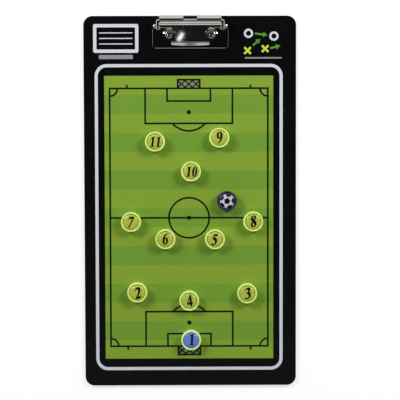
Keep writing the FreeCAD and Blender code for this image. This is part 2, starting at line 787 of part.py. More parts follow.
def bow_lip(body):
    """Trim the front edge of the lip to a shallow bow."""
    sketch = new_sketch(body, "lip_edge")
    half = f"({LIP_SIDE} + Sizes.lever_thickness)"
    radius = f"(({half} ^ 2 + Sizes.lip_bow ^ 2) / (2 * Sizes.lip_bow))"
    centre_y = f"({radius} - Sizes.lip_reach)"
    end_y = "(Sizes.lip_bow - Sizes.lip_reach)"
    front = f"-{CLEAR_OF_ALL}"
    left = Vector(-value(half), value(end_y), 0)
    right = Vector(value(half), value(end_y), 0)
    arc = sketch.addGeometry(arc_between(Vector(0, value(centre_y), 0), value(radius), left, right))
    hold(sketch, arc, CENTRE_INDEX, "0", centre_y)
    hold(sketch, arc, START_INDEX, f"-{half}", end_y)
    hold(sketch, arc, END_INDEX, x=half)

    last, last_place = arc, right
    for x, y in ((half, front), (f"-{half}", front)):
        place = Vector(value(x), value(y), 0)
        line = sketch.addGeometry(Part.LineSegment(last_place, place))
        join(sketch, last, END_INDEX, line, START_INDEX)
        hold(sketch, line, END_INDEX, x, y)
        last, last_place = line, place
    closing = sketch.addGeometry(Part.LineSegment(last_place, left))
    join(sketch, last, END_INDEX, closing, START_INDEX)
    join(sketch, closing, END_INDEX, arc, START_INDEX)
    cut(body, sketch)


def round_plate_corners(body, radius, half_width, reach):
    """Round the two corners at one end of the bent plate."""
    thickness = value("Sizes.lever_thickness")
    side = value(half_width)
    limit = value(reach)

    def plate_corner(edge):
        ends = [vertex.Point for vertex in edge.Vertexes]
        return (
            len(ends) == 2
            and abs(ends[0].x - ends[1].x) < CLOSE
            and all(abs(abs(end.x) - side) < CLOSE for end in ends)
            and all((end.y - limit) * math.copysign(1, limit) > -thickness for end in ends)
        )

    round_edges(body, radius, plate_corner)


def make_clip_lever():
    body = new_body("clip_lever", "Sizes.clip_shift", PIN_Y, FACE_TOP)
    path = new_sketch(body, "lever_side", "YZ_Plane")
    bends = [
        ("-(Sizes.lip_reach + Sizes.lever_thickness)", f"{JAW_HEIGHT} + Sizes.lip_rise"),
        ("-Sizes.jaw_reach", JAW_HEIGHT, "Sizes.lip_bend"),
        ("Sizes.neck_place", f"{PIN_HEIGHT} + Sizes.neck_rise", "Sizes.neck_bend"),
        ("Sizes.step_place", f"{BRIDGE_HEIGHT} - Sizes.step_drop", "Sizes.step_bend"),
        ("Sizes.ridge_foot", BRIDGE_HEIGHT, "Sizes.step_bend"),
        ("Sizes.ridge_place", f"{BRIDGE_HEIGHT} + Sizes.ridge_rise", "Sizes.ridge_bend"),
        ("Sizes.tab_place", BRIDGE_HEIGHT, "Sizes.tab_bend"),
        ("Sizes.tab_reach", f"{BRIDGE_HEIGHT} + Sizes.tab_rise"),
    ]
    trace(path, bends, closed=False)
    doc.recompute()
    section = body.newObject("Sketcher::SketchObject", "lever_section")
    section.AttachmentSupport = [(path, "Edge1")]
    section.MapMode = "NormalToEdge"
    centred_rectangle(section, f"2 * {LEVER_SIDE}", "Sizes.lever_thickness")
    plate = body.newObject("PartDesign::AdditivePipe", "bent_plate")
    plate.Profile = section
    plate.Spine = path
    doc.recompute()

    cut_beside_jaw(body)
    add_lever_ears(body)
    cut_shoulders(body)
    bow_lip(body)
    round_plate_corners(body, "Sizes.tab_corner", TAB_SIDE, "Sizes.tab_reach")
    round_plate_corners(body, "Sizes.lip_corner", LIP_SIDE, "Sizes.lip_bow - Sizes.lip_reach")

    eyes = new_sketch(body, "lever_pin_eyes", "YZ_Plane")
    circle(eyes, "0", PIN_HEIGHT, "Sizes.pin_radius + Sizes.pin_running_fit")
    cut(body, eyes)
    slot = new_sketch(body, "hang_slot")
    slot_half = "(Sizes.hang_slot_width / 2)"
    rectangle(
        slot,
        f"-{slot_half}",
        "Sizes.hang_slot_near",
        slot_half,
        "Sizes.hang_slot_far",
        "Sizes.hang_slot_corner",
    )
    cut(body, slot)


def make_pivot_pin():
    body = new_body("pivot_pin", "Sizes.clip_shift", PIN_Y, f"{FACE_TOP} + {PIN_HEIGHT}")
    sketch = new_sketch(body, "pin_profile")
    neck = f"({LEVER_SIDE} + Sizes.pin_end_play)"
    end = f"({neck} + Sizes.pin_head_length)"
    dome = f"Sizes.pin_head_radius * {ROUND_SHARE}"
    trace(
        sketch,
        [
            (f"-{end}", "0"),
            (end, "0"),
            (end, "Sizes.pin_head_radius", dome),
            (neck, "Sizes.pin_head_radius"),
            (neck, "Sizes.pin_radius"),
            (f"-{neck}", "Sizes.pin_radius"),
            (f"-{neck}", "Sizes.pin_head_radius"),
            (f"-{end}", "Sizes.pin_head_radius", dome),
        ],
    )
    revolve(body, sketch, "H_Axis")


def make_rivets():
    seat = f"({FACE_TOP} + Sizes.base_thickness + Sizes.boss_height)"
    crown = f"({seat} + Sizes.rivet_head_height)"
    flange_top = "Sizes.rivet_recess + Sizes.rivet_flange_thickness"
    for label, side in (("rivet_left", "-"), ("rivet_right", "")):
        body = new_body(label, f"Sizes.clip_shift + {side}{RIVET_X}", RIVET_Y)
        sketch = new_sketch(body, label + "_profile", "XZ_Plane")
        trace(
            sketch,
            [
                ("0", "Sizes.rivet_recess"),
                ("Sizes.rivet_flange_radius", "Sizes.rivet_recess"),
                ("Sizes.rivet_flange_radius", flange_top),
                ("Sizes.rivet_radius", flange_top),
                ("Sizes.rivet_radius", seat),
                ("Sizes.rivet_head_radius", seat),
                ("Sizes.rivet_head_radius", crown, f"Sizes.rivet_head_height * {RIVET_CROWN_SHARE}"),
                ("Sizes.rivet_dimple_radius", crown, f"Sizes.rivet_dimple_depth * {RIVET_DIMPLE_SHARE}"),
                ("Sizes.rivet_dimple_radius", f"{crown} - Sizes.rivet_dimple_depth"),
                ("0", f"{crown} - Sizes.rivet_dimple_depth"),
            ],
        )
        revolve(body, sketch)


# Torsion spring

def smooth_arcs(first, first_way, last, last_way):
    """Return two arcs that join two points and keep to the given directions there."""
    chord = last - first
    ways = first_way + last_way
    turn = 1 - first_way.dot(last_way)
    along = chord.dot(ways)
    reach = (math.sqrt(along ** 2 + 2 * turn * chord.dot(chord)) - along) / (2 * turn)
    joint = (first + last + (first_way - last_way) * reach) * 0.5
    pieces = []
    for begin, finish, corner in (
        (first, joint, first + first_way * reach),
        (joint, last, last - last_way * reach),
    ):
        middle = (begin + finish) * 0.5
        rise = (corner - middle).Length
        half_chord = (finish - begin).Length / 2
        half_turn = math.atan2(rise, half_chord)
        crest = middle + (corner - middle) * (math.tan(half_turn / 2) / math.tan(half_turn))
        pieces.append(Part.Arc(begin, crest, finish))
    return pieces


def least_gap_to_itself(points, wire_radius, spacing, neighbourhood):
    """Return the least clear gap between parts of a wire that aren't neighbours along it."""
    skip = int(neighbourhood / spacing)
    least = math.inf
    for i, point in enumerate(points):
        for other in points[i + skip:]:
            least = min(least, (point - other).Length)
    return least - 2 * wire_radius


def under_tab_bend():
    """Return the height above the pin of the underside of the bend between ridge and tab."""
    fall = math.atan2(value("Sizes.ridge_rise"), value("Sizes.tab_place - Sizes.ridge_place"))
    rise = math.atan2(value("Sizes.tab_rise"), value("Sizes.tab_reach - Sizes.tab_place"))
    centre = value("Sizes.tab_bend") * math.cos((rise - fall) / 2) / math.cos((rise + fall) / 2)
    return value("Sizes.bridge_rise - Sizes.tab_bend - Sizes.lever_thickness / 2") + centre


def make_torsion_spring():
    """Wind the spring round the pin, one leg under the lever's tab and one on the base."""
    coil = value(COIL_RADIUS)
    wire = value("Sizes.wire_radius")
    pitch = value("Sizes.coil_pitch")
    leg_top = under_tab_bend() - value("Sizes.leg_gap")
    leg_reach = value("Sizes.tab_place")
    lever_slope = math.atan2(leg_top, leg_reach) - math.asin((coil + wire) / math.hypot(leg_top, leg_reach))
    base_slope = math.radians(value("Sizes.base_leg_slope"))
    first_angle = math.pi / 2 + lever_slope
    last_angle = math.pi / 2 + base_slope + 2 * math.pi * value("Sizes.coil_turns")
    start_x = -pitch * (last_angle - first_angle) / (4 * math.pi)
    climb = pitch / (2 * math.pi)

    def on_coil(angle):
        along = start_x + climb * (angle - first_angle)
        return Vector(along, coil * math.cos(angle), coil * math.sin(angle))

    def direction(angle):
        return Vector(climb, -coil * math.sin(angle), coil * math.cos(angle)).normalize()

    # The legs end where the rim of the wire comes within the gap of what they press on
    on_base = -value("Sizes.pin_rise - Sizes.leg_gap")
    lever_leg = direction(first_angle) * -1
    base_leg = direction(last_angle)
    lever_leg_rim = wire * math.sqrt(1 - lever_leg.z ** 2)
    base_leg_rim = wire * math.sqrt(1 - base_leg.z ** 2)
    lever_leg_length = (leg_top - lever_leg_rim - on_coil(first_angle).z) / lever_leg.z
    base_leg_length = (on_base + base_leg_rim - on_coil(last_angle).z) / base_leg.z
    lever_tip = on_coil(first_angle) + lever_leg * lever_leg_length
    base_tip = on_coil(last_angle) + base_leg * base_leg_length

    quarters = math.ceil((last_angle - first_angle) / (math.pi / 2))
    angles = [first_angle + (last_angle - first_angle) * i / quarters for i in range(quarters + 1)]
    curves = [Part.LineSegment(lever_tip, on_coil(first_angle))]
    for begin, finish in zip(angles, angles[1:]):
        curves += smooth_arcs(on_coil(begin), direction(begin), on_coil(finish), direction(finish))
    curves.append(Part.LineSegment(on_coil(last_angle), base_tip))
    path = Part.Wire([curve.toShape() for curve in curves])

    spacing = wire / 2
    neighbourhood = math.pi * coil
    gap = least_gap_to_itself(path.discretize(Distance=spacing), wire, spacing, neighbourhood)
    print(f"torsion_spring: least gap to itself {gap:.2f} mm")

    section = Part.Wire([Part.Circle(lever_tip, lever_leg, wire).toShape()])
    pipe = Part.BRepOffsetAPI.MakePipeShell(path)
    pipe.add(section)
    pipe.build()
    pipe.makeSolid()
    spring = doc.addObject("Part::Feature", "torsion_spring")
    spring.Label = "torsion_spring"
    spring.Shape = pipe.shape()
    spring.Placement = FreeCAD.Placement(
        Vector(value("Sizes.clip_shift"), value(PIN_Y), value(f"{FACE_TOP} + {PIN_HEIGHT}")),
        FreeCAD.Rotation(),
    )
    subparts.append(spring)


# Counters

OUTSIDE = "(Sizes.counter_diameter / 2)"
MAGNET_BED = "(Sizes.magnet_diameter / 2 + Sizes.magnet_fit)"
RECESS_SIDE = f"({OUTSIDE} - Sizes.counter_rim)"
RECESS_FLOOR = "(Sizes.counter_height - Sizes.counter_recess)"


HOME_LINES = {
    "middle": "Sizes.print_shift_x",
    "left side line": f"(Sizes.print_shift_x - {SIDE_LINE})",
    "right side line": f"(Sizes.print_shift_x + {SIDE_LINE})",
    "halfway line": PRINT_Y,
    "goal line": f"({PRINT_Y} - {GOAL_LINE})",
}


def make_counter(name, upright, across, level, along):
    """Make one counter: its cap, the face set in the rim and the magnet underneath."""
    x = f"{HOME_LINES[upright]} + {across}"
    y = f"{HOME_LINES[level]} + {along}"

    def counter_body(label, lift="0"):
        return new_body(f"{name}_{label}", x, y, f"{COUNTER_FLOOR} + {lift}")

    cap = counter_body("cap")
    profile = new_sketch(cap, f"{name}_cap_profile", "XZ_Plane")
    rim_round = "Sizes.counter_rim_round"
    trace(
        profile,
        [
            (MAGNET_BED, "0"),
            (OUTSIDE, "0", "Sizes.counter_base_round"),
            (f"{OUTSIDE} - Sizes.counter_draft", "Sizes.counter_height", rim_round),
            (RECESS_SIDE, "Sizes.counter_height", rim_round),
            (RECESS_SIDE, RECESS_FLOOR),
            ("0", RECESS_FLOOR),
            ("0", "Sizes.magnet_thickness"),
            (MAGNET_BED, "Sizes.magnet_thickness"),
        ],
    )
    revolve(cap, profile)

    face = counter_body("face", RECESS_FLOOR)
    face_radius = f"({RECESS_SIDE} - Sizes.face_fit)"
    pillow = new_sketch(face, f"{name}_face_profile", "XZ_Plane")
    trace(
        pillow,
        [
            ("0", "0"),
            (face_radius, "0"),
            (face_radius, "Sizes.face_edge"),
            (f"{face_radius} - Sizes.face_shoulder", "Sizes.face_crown", "Sizes.face_round"),
            ("0", "Sizes.face_crown"),
        ],
    )
    revolve(face, pillow)

    magnet = counter_body("magnet")
    disc = new_sketch(magnet, f"{name}_magnet_profile", "XZ_Plane")
    edge = "Sizes.magnet_edge"
    magnet_radius = "Sizes.magnet_diameter / 2"
    trace(
        disc,
        [
            ("0", "0"),
            (magnet_radius, "0", edge),
            (magnet_radius, "Sizes.magnet_thickness", edge),
            ("0", "Sizes.magnet_thickness"),
        ],
    )
    revolve(magnet, disc)


make_board()
make_frame_line()
make_pitch_print()
make_pitch_markings()
make_clip_base()
make_clip_lever()
make_pivot_pin()
make_rivets()
make_torsion_spring()
for counter, home in HOMES.items():
    make_counter(counter, *home)
doc.recompute()

for item in doc.Objects:
    if "Invalid" in item.State or "Error" in item.State:
        raise RuntimeError(f"{item.Label} failed: {item.State}")
for item in subparts:
    if item.Shape.isNull() or not item.Shape.isValid():
        raise RuntimeError(f"{item.Label} has no valid shape")

os.makedirs("parts", exist_ok=True)
for item in subparts:
    item.Shape.exportStep(f"parts/{item.Label}.step")
print(f"{len(subparts)} sub-parts written")
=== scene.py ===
"""Looks of the tactics board: finishes, printed numbers, the wound spring, light and camera.

Everything is in metres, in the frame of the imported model: X runs across the board, Y up the
pitch towards the clip and Z out of the printed face.
"""
import json
import math

import bmesh
import bpy
from mathutils import Matrix, Vector
from mathutils.bvhtree import BVHTree

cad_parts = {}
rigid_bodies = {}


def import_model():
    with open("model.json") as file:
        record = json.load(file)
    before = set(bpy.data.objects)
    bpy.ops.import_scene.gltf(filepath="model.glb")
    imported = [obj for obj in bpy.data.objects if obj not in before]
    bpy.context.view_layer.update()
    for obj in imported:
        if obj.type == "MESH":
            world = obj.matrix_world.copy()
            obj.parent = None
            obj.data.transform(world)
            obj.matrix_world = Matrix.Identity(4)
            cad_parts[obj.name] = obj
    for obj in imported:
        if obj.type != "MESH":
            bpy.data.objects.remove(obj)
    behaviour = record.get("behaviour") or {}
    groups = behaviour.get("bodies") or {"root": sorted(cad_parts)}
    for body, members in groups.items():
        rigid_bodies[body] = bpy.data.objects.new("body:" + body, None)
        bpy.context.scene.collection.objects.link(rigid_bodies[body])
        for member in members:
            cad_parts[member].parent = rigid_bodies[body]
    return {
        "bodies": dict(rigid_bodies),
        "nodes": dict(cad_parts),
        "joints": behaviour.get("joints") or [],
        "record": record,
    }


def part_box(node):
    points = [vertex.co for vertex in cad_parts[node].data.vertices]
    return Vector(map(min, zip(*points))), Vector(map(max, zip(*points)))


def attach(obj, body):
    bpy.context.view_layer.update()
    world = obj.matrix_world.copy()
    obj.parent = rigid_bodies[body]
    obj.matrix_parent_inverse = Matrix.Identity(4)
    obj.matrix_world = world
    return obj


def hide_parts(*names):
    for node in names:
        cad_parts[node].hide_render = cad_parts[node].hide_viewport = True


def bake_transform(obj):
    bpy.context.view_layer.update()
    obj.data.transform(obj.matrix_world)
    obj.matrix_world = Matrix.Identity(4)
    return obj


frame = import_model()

MM = 0.001
# Points closer than this are taken as one
WELD = 0.0005 * MM
NODES = frame["nodes"]
COUNTERS = [name for name in frame["bodies"] if name not in ("board", "lever")]
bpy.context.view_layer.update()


def srgb(red, green, blue):
    """Return the linear colour of an sRGB one, whose channels run from 0 to 255."""
    linear = []
    for channel in (red, green, blue):
        part = channel / 255
        # The two branches of the sRGB standard
        linear.append(part / 12.92 if part <= 0.04045 else ((part + 0.055) / 1.055) ** 2.4)
    return (*linear, 1.0)


# Shader nodes

def plug(tree, socket, source):
    """Link a socket to another node's output, or set it to a plain number or colour."""
    if isinstance(source, bpy.types.NodeSocket):
        tree.links.new(source, socket)
    else:
        socket.default_value = source


def joined(tree, operation, *values):
    """Return the outcome of a calculation on sockets and plain numbers."""
    node = tree.nodes.new("ShaderNodeMath")
    node.operation = operation
    for socket, value in zip(node.inputs, values):
        plug(tree, socket, value)
    return node.outputs[0]


def ramped(tree, value, over, to):
    """Return a number that goes from one end to another while a value goes over a span."""
    node = tree.nodes.new("ShaderNodeMapRange")
    plug(tree, node.inputs["Value"], value)
    node.inputs["From Min"].default_value, node.inputs["From Max"].default_value = over
    node.inputs["To Min"].default_value, node.inputs["To Max"].default_value = to
    return node.outputs["Result"]


# Finishes

class Finish:
    """A material in the making: a principled shader and the nodes that feed it."""

    def __init__(self, name, colour, roughness, **constants):
        """Start from one colour and roughness; other sockets are set by their names."""
        self.material = bpy.data.materials.new(name)
        self.material.use_nodes = True
        self.tree = self.material.node_tree
        self.shader = self.tree.nodes["Principled BSDF"]
        self.shader.inputs["Base Color"].default_value = colour
        self.shader.inputs["Roughness"].default_value = roughness
        for socket, number in constants.items():
            self.shader.inputs[socket.replace("_", " ")].default_value = number
        coordinates = self.tree.nodes.new("ShaderNodeTexCoord")
        self.place = coordinates.outputs["Object"]
        self.normal = None

    def feed(self, socket, source):
        """Link or set one socket of this material."""
        plug(self.tree, socket, source)

    def scaled(self, stretch):
        """Return the place on the object with each axis stretched."""
        mapping = self.tree.nodes.new("ShaderNodeMapping")
        mapping.inputs["Scale"].default_value = stretch
        self.feed(mapping.inputs["Vector"], self.place)
        return mapping.outputs["Vector"]

    def noise(self, size, detail, stretch=(1, 1, 1)):
        """Return a soft cloud from 0 to 1 whose lumps are about the given size."""
        texture = self.tree.nodes.new("ShaderNodeTexNoise")
        texture.inputs["Scale"].default_value = 1 / size
        texture.inputs["Detail"].default_value = detail
        self.feed(texture.inputs["Vector"], self.scaled(stretch))
        return texture.outputs["Fac"]

    def cells(self, size):
        """Return one shade for each of many uneven cells of about the given size."""
        texture = self.tree.nodes.new("ShaderNodeTexVoronoi")
        texture.inputs["Scale"].default_value = 1 / size
        self.feed(texture.inputs["Vector"], self.place)
        return texture.outputs["Color"]

    def math(self, operation, *values):
        """Return the outcome of a calculation on sockets and plain numbers."""
        return joined(self.tree, operation, *values)

    def spread(self, source, to, over=(0.0, 1.0)):
        """Map a number from one range to another, held at both ends."""
        return ramped(self.tree, source, over, to)

    def mix(self, share, first, second):
        """Return the blend of two colours for the second one's share."""
        node = self.tree.nodes.new("ShaderNodeMix")
        node.data_type = "RGBA"
        self.feed(node.inputs["Factor"], share)
        colours = [socket for socket in node.inputs if socket.type == "RGBA"]
        self.feed(colours[0], first)
        self.feed(colours[1], second)
        return next(socket for socket in node.outputs if socket.type == "RGBA")

    def axes(self):
        """Return the X, Y and Z of the place on the object."""
        node = self.tree.nodes.new("ShaderNodeSeparateXYZ")
        self.feed(node.inputs[0], self.place)
        return node.outputs

    def colour(self, source):
        """Feed the shader's colour."""
        self.feed(self.shader.inputs["Base Color"], source)

    def roughness(self, source):
        """Feed the shader's roughness."""
        self.feed(self.shader.inputs["Roughness"], source)

    def bump(self, height, distance):
        """Raise the surface by a height map; later calls add to earlier ones."""
        node = self.tree.nodes.new("ShaderNodeBump")
        node.inputs["Distance"].default_value = distance
        node.inputs["Strength"].default_value = 1.0
        self.feed(node.inputs["Height"], height)
        if self.normal is not None:
            self.feed(node.inputs["Normal"], self.normal)
        self.normal = node.outputs["Normal"]
        self.feed(self.shader.inputs["Normal"], self.normal)


def laminate_finish():
    """Black laminate with a fine orange peel and faint rubbed patches."""
    finish = Finish("black_laminate", srgb(7, 8, 9), roughness=0.32, Specular_IOR_Level=0.22)
    patches = finish.noise(60 * MM, detail=4)
    finish.colour(finish.mix(patches, srgb(5, 6, 7), srgb(8, 9, 10)))
    smudges = finish.noise(25 * MM, detail=5)
    finish.roughness(finish.spread(smudges, to=(0.22, 0.31)))
    finish.bump(finish.noise(0.7 * MM, detail=3), distance=0.012 * MM)
    scratches = finish.noise(1.2 * MM, detail=2, stretch=(1, 0.02, 1))
    finish.bump(finish.spread(scratches, to=(0, 1), over=(0.66, 0.72)), distance=0.004 * MM)
    return finish.material


def fibre_finish():
    """The board's dyed fibre core, which shows as a matt line round the edge."""
    finish = Finish("dyed_fibre", srgb(20, 20, 22), roughness=0.8)
    fibres = finish.noise(0.5 * MM, detail=6, stretch=(0.3, 0.3, 2.5))
    finish.colour(finish.mix(fibres, srgb(12, 12, 14), srgb(34, 33, 33)))
    finish.bump(fibres, distance=0.05 * MM)
    return finish.material


def galvanised_finish():
    """Zinc-coated sheet with a faint spangle."""
    finish = Finish("galvanised_sheet", srgb(170, 174, 178), roughness=0.4, Metallic=1.0)
    spangle = finish.cells(6 * MM)
    finish.colour(finish.mix(spangle, srgb(150, 154, 160), srgb(186, 190, 194)))
    finish.roughness(finish.spread(finish.noise(3 * MM, detail=3), to=(0.3, 0.5)))
    return finish.material


PITCH_STRIPES = 15
GOAL_WIDTH = 23.8 * MM
GOAL_DEPTH = 10.1 * MM


def inside_goals(finish):
    """Return 1 where the print lies behind a goal line and between the posts, else 0."""
    low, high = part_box("pitch_markings")
    middle = (low + high) / 2
    across = finish.math("ABSOLUTE", finish.math("SUBTRACT", finish.axes()["X"], middle.x))
    along = finish.math("ABSOLUTE", finish.math("SUBTRACT", finish.axes()["Y"], middle.y))
    between = finish.math("LESS_THAN", across, GOAL_WIDTH / 2)
    goal_back = high.y - middle.y
    behind = finish.math("GREATER_THAN", along, goal_back - GOAL_DEPTH)
    before = finish.math("LESS_THAN", along, goal_back)
    return finish.math("MULTIPLY", between, finish.math("MULTIPLY", behind, before))


def pitch_finish():
    """Green print with mown stripes across the pitch, light at both ends, and pale goals."""
    finish = Finish("printed_grass", srgb(117, 151, 48), roughness=0.42, Specular_IOR_Level=0.3)
    low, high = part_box("pitch_print")
    along = finish.math("SUBTRACT", finish.axes()["Y"], low.y)
    count = finish.math("DIVIDE", along, (high.y - low.y) / PITCH_STRIPES)
    dark = finish.math("MODULO", finish.math("FLOOR", count), 2.0)
    stripes = finish.mix(dark, srgb(128, 158, 48), srgb(109, 149, 46))
    mottle = finish.spread(finish.noise(9 * MM, detail=4), to=(0.0, 0.22), over=(0.35, 0.75))
    patchy = finish.mix(mottle, stripes, srgb(116, 160, 44))
    grain = finish.spread(finish.noise(0.6 * MM, detail=2), to=(0.0, 0.16), over=(0.4, 0.7))
    grass = finish.mix(grain, patchy, srgb(96, 128, 40))
    finish.colour(finish.mix(inside_goals(finish), grass, srgb(126, 140, 98)))
    finish.roughness(finish.spread(finish.noise(14 * MM, detail=4), to=(0.36, 0.48)))
    finish.bump(finish.noise(0.35 * MM, detail=2), distance=0.006 * MM)
    return finish.material


INK_ROUGHNESS = 0.36
INK_UNEVENNESS = 0.06


def ink_finish(name, colour, speck):
    """Printed ink: even colour with a fine speck and the sheen of its film."""
    finish = Finish(name, colour, roughness=INK_ROUGHNESS, Specular_IOR_Level=0.3)
    specks = finish.spread(finish.noise(0.3 * MM, detail=3), to=(0.0, 0.35), over=(0.45, 0.75))
    finish.colour(finish.mix(specks, colour, speck))
    sheen = (INK_ROUGHNESS - INK_UNEVENNESS, INK_ROUGHNESS + INK_UNEVENNESS)
    finish.roughness(finish.spread(finish.noise(8 * MM, detail=3), to=sheen))
    finish.bump(finish.noise(0.25 * MM, detail=2), distance=0.004 * MM)
    return finish.material


def nickel_finish():
    """Bright nickel plate: rolling lines, rubbed patches and a few fine scratches."""
    bright = srgb(206, 204, 200)
    finish = Finish("nickel_plate", bright, roughness=0.03, Metallic=1.0)
    haze = finish.noise(12 * MM, detail=1)
    rubbed = finish.spread(haze, to=(0.0, 0.6), over=(0.35, 0.8))
    finish.colour(finish.mix(rubbed, bright, srgb(188, 186, 182)))
    finish.roughness(finish.spread(haze, to=(0.03, 0.04), over=(0.3, 0.75)))
    rolled = finish.noise(0.5 * MM, detail=3, stretch=(0.03, 1, 1))
    finish.bump(rolled, distance=0.0001 * MM)
    scratches = finish.noise(0.8 * MM, detail=2, stretch=(0.05, 1.0, 0.6))
    finish.bump(finish.spread(scratches, to=(0, 1), over=(0.7, 0.74)), distance=0.0001 * MM)
    return finish.material


def wire_finish():
    """Drawn spring wire, darker than the plate beside it."""
    finish = Finish("spring_wire", srgb(150, 148, 145), roughness=0.3, Metallic=1.0)
    drawn = finish.noise(0.4 * MM, detail=3, stretch=(0.2, 1, 1))
    finish.colour(finish.mix(drawn, srgb(120, 118, 116), srgb(176, 173, 168)))
    finish.roughness(finish.spread(drawn, to=(0.22, 0.42)))
    finish.bump(drawn, distance=0.004 * MM)
    return finish.material


def moulded_finish(name, colour, deep, subsurface):
    """Moulded plastic that lets a little light through, with a fine satin skin."""
    finish = Finish(
        name,
        colour,
        roughness=0.34,
        Subsurface_Weight=subsurface,
        Subsurface_Radius=(3.0, 2.4, 0.8),
        Subsurface_Scale=1 * MM,
    )
    cloud = finish.spread(finish.noise(4 * MM, detail=4), to=(0.0, 0.5), over=(0.4, 0.8))
    finish.colour(finish.mix(cloud, colour, deep))
    finish.roughness(finish.spread(finish.noise(2 * MM, detail=3), to=(0.26, 0.4)))
    finish.bump(finish.noise(0.2 * MM, detail=2), distance=0.003 * MM)
    return finish.material


def resin_face_finish(name, colour, deep):
    """Printed disc under a clear resin dome."""
    finish = Finish(
        name,
        colour,
        roughness=0.5,
        Coat_Weight=0.4,
        Coat_Roughness=0.13,
        Coat_IOR=1.5,
    )
    cloud = finish.noise(3 * MM, detail=3)
    shade = finish.spread(cloud, to=(0.0, 0.5), over=(0.35, 0.8))
    finish.colour(finish.mix(shade, colour, deep))
    finish.roughness(finish.spread(cloud, to=(0.4, 0.55)))
    finish.bump(finish.noise(0.3 * MM, detail=2), distance=0.002 * MM)
    return finish.material


def ferrite_finish():
    """Sintered magnet: dark grey, slightly porous."""
    finish = Finish("sintered_magnet", srgb(52, 52, 55), roughness=0.6)
    pores = finish.noise(0.4 * MM, detail=5)
    finish.colour(finish.mix(pores, srgb(38, 38, 41), srgb(70, 70, 73)))
    finish.roughness(finish.spread(pores, to=(0.5, 0.75)))
    finish.bump(pores, distance=0.02 * MM)
    return finish.material


# How much of a plastic's colour comes from under its skin
CLOUDY = 0.35
DENSE = 0.1
LIME_CAP = moulded_finish("lime_plastic", srgb(214, 236, 130), srgb(202, 228, 112), CLOUDY)
PALE_CAP = moulded_finish("pale_lime_plastic", srgb(214, 240, 174), srgb(202, 230, 156), CLOUDY)
NAVY_CAP = moulded_finish("navy_plastic", srgb(36, 40, 74), srgb(28, 31, 60), DENSE)

# The finish of each material slot
FINISHES = {
    "board_black": laminate_finish(),
    "zinc_steel": galvanised_finish(),
    "print_green": pitch_finish(),
    "print_black": ink_finish("black_ink", srgb(5, 11, 3), srgb(12, 20, 6)),
    "print_white": ink_finish("white_ink", srgb(206, 208, 216), srgb(188, 190, 198)),
    "clip_nickel": nickel_finish(),
    "spring_wire": wire_finish(),
    "cap_lime": LIME_CAP,
    "cap_pale_lime": PALE_CAP,
    "cap_navy": NAVY_CAP,
    "face_gold": resin_face_finish("gold_face", srgb(174, 183, 64), srgb(160, 170, 50)),
    "face_blue": resin_face_finish("blue_face", srgb(94, 129, 196), srgb(80, 113, 184)),
    "face_white": resin_face_finish("navy_face", srgb(32, 35, 68), srgb(25, 28, 56)),
    "magnet_ferrite": ferrite_finish(),
}
CORE_FINISH = fibre_finish()
NAVY_INK = ink_finish("navy_ink", srgb(3, 5, 50), srgb(8, 12, 66))
PALE_INK = ink_finish("pale_ink", srgb(192, 194, 206), srgb(172, 174, 188))
GREY_INK = ink_finish("grey_ink", srgb(138, 139, 144), srgb(124, 125, 130))
GREEN_INK = ink_finish("green_ink", srgb(84, 140, 44), srgb(72, 124, 36))
YELLOW_INK = ink_finish("yellow_ink", srgb(194, 204, 66), srgb(178, 188, 54))


def dress_cad_nodes():
    """Give every CAD node the finish of its material slot."""
    for row in frame["record"]["subparts"]:
        node = NODES[row["node"]]
        finish = CORE_FINISH if row["node"] == "core_board" else FINISHES[row["material_slot"]]
        node.data.materials.clear()
        node.data.materials.append(finish)


EDGE_BREAK = 0.22 * MM
SHARP_EDGE = math.radians(60)


def break_base_edges():
    """Break the sheared edges of the clip's base plate, so that they catch the light."""
    base = NODES["clip_base"]
    weld = base.modifiers.new("weld", "WELD")
    weld.merge_threshold = WELD
    bevel = base.modifiers.new("edges", "BEVEL")
    bevel.width = EDGE_BREAK
    bevel.segments = 1
    bevel.use_clamp_overlap = False
    bevel.limit_method = "ANGLE"
    bevel.angle_limit = SHARP_EDGE


# Thin printed films

# Steps of a curve from point to point, a film's thickness, the grid that lets it bend over a
# dome, and the height above a node from which a film drops onto it
CURVE_STEPS = 8
FILM_THICKNESS = 0.03 * MM
BENT_STEP = 0.4 * MM
HEADROOM = 10 * MM


def new_object(name, data):
    """Add an object with the given mesh, curve, lamp or camera to the scene."""
    thing = bpy.data.objects.new(name, data)
    bpy.context.scene.collection.objects.link(thing)
    return thing


def filled_outline(contours):
    """Fill closed contours, holes included, and return the flat mesh.

    A contour is a start point (x, y) and then a straight run (x, y) or a curve
    (x1, y1, x2, y2, x, y) to each next point. It closes with a straight run.
    """
    curve = bpy.data.curves.new("outline", "CURVE")
    curve.dimensions = "2D"
    curve.fill_mode = "BOTH"
    curve.resolution_u = CURVE_STEPS
    for contour in contours:
        knots = [Vector(contour[0])]
        arriving = [None]
        leaving = []
        for step in list(contour[1:]) + [contour[0]]:
            last = knots[-1]
            target = Vector(step[-2:])
            if len(step) == 6:
                leaving.append(Vector(step[0:2]))
                arriving.append(Vector(step[2:4]))
            else:
                leaving.append(last.lerp(target, 1 / 3))
                arriving.append(last.lerp(target, 2 / 3))
            knots.append(target)
        knots.pop()
        arriving[0] = arriving.pop()
        spline = curve.splines.new("BEZIER")
        spline.bezier_points.add(len(knots) - 1)
        spline.use_cyclic_u = True
        for point, knot, before, after in zip(spline.bezier_points, knots, arriving, leaving):
            point.handle_left_type = "FREE"
            point.handle_right_type = "FREE"
            point.co = (*knot, 0)
            point.handle_left = (*before, 0)
            point.handle_right = (*after, 0)
    holder = new_object("outline", curve)
    graph = bpy.context.evaluated_depsgraph_get()
    mesh = bpy.data.meshes.new_from_object(holder.evaluated_get(graph))
    bpy.data.objects.remove(holder)
    bpy.data.curves.remove(curve)
    return mesh


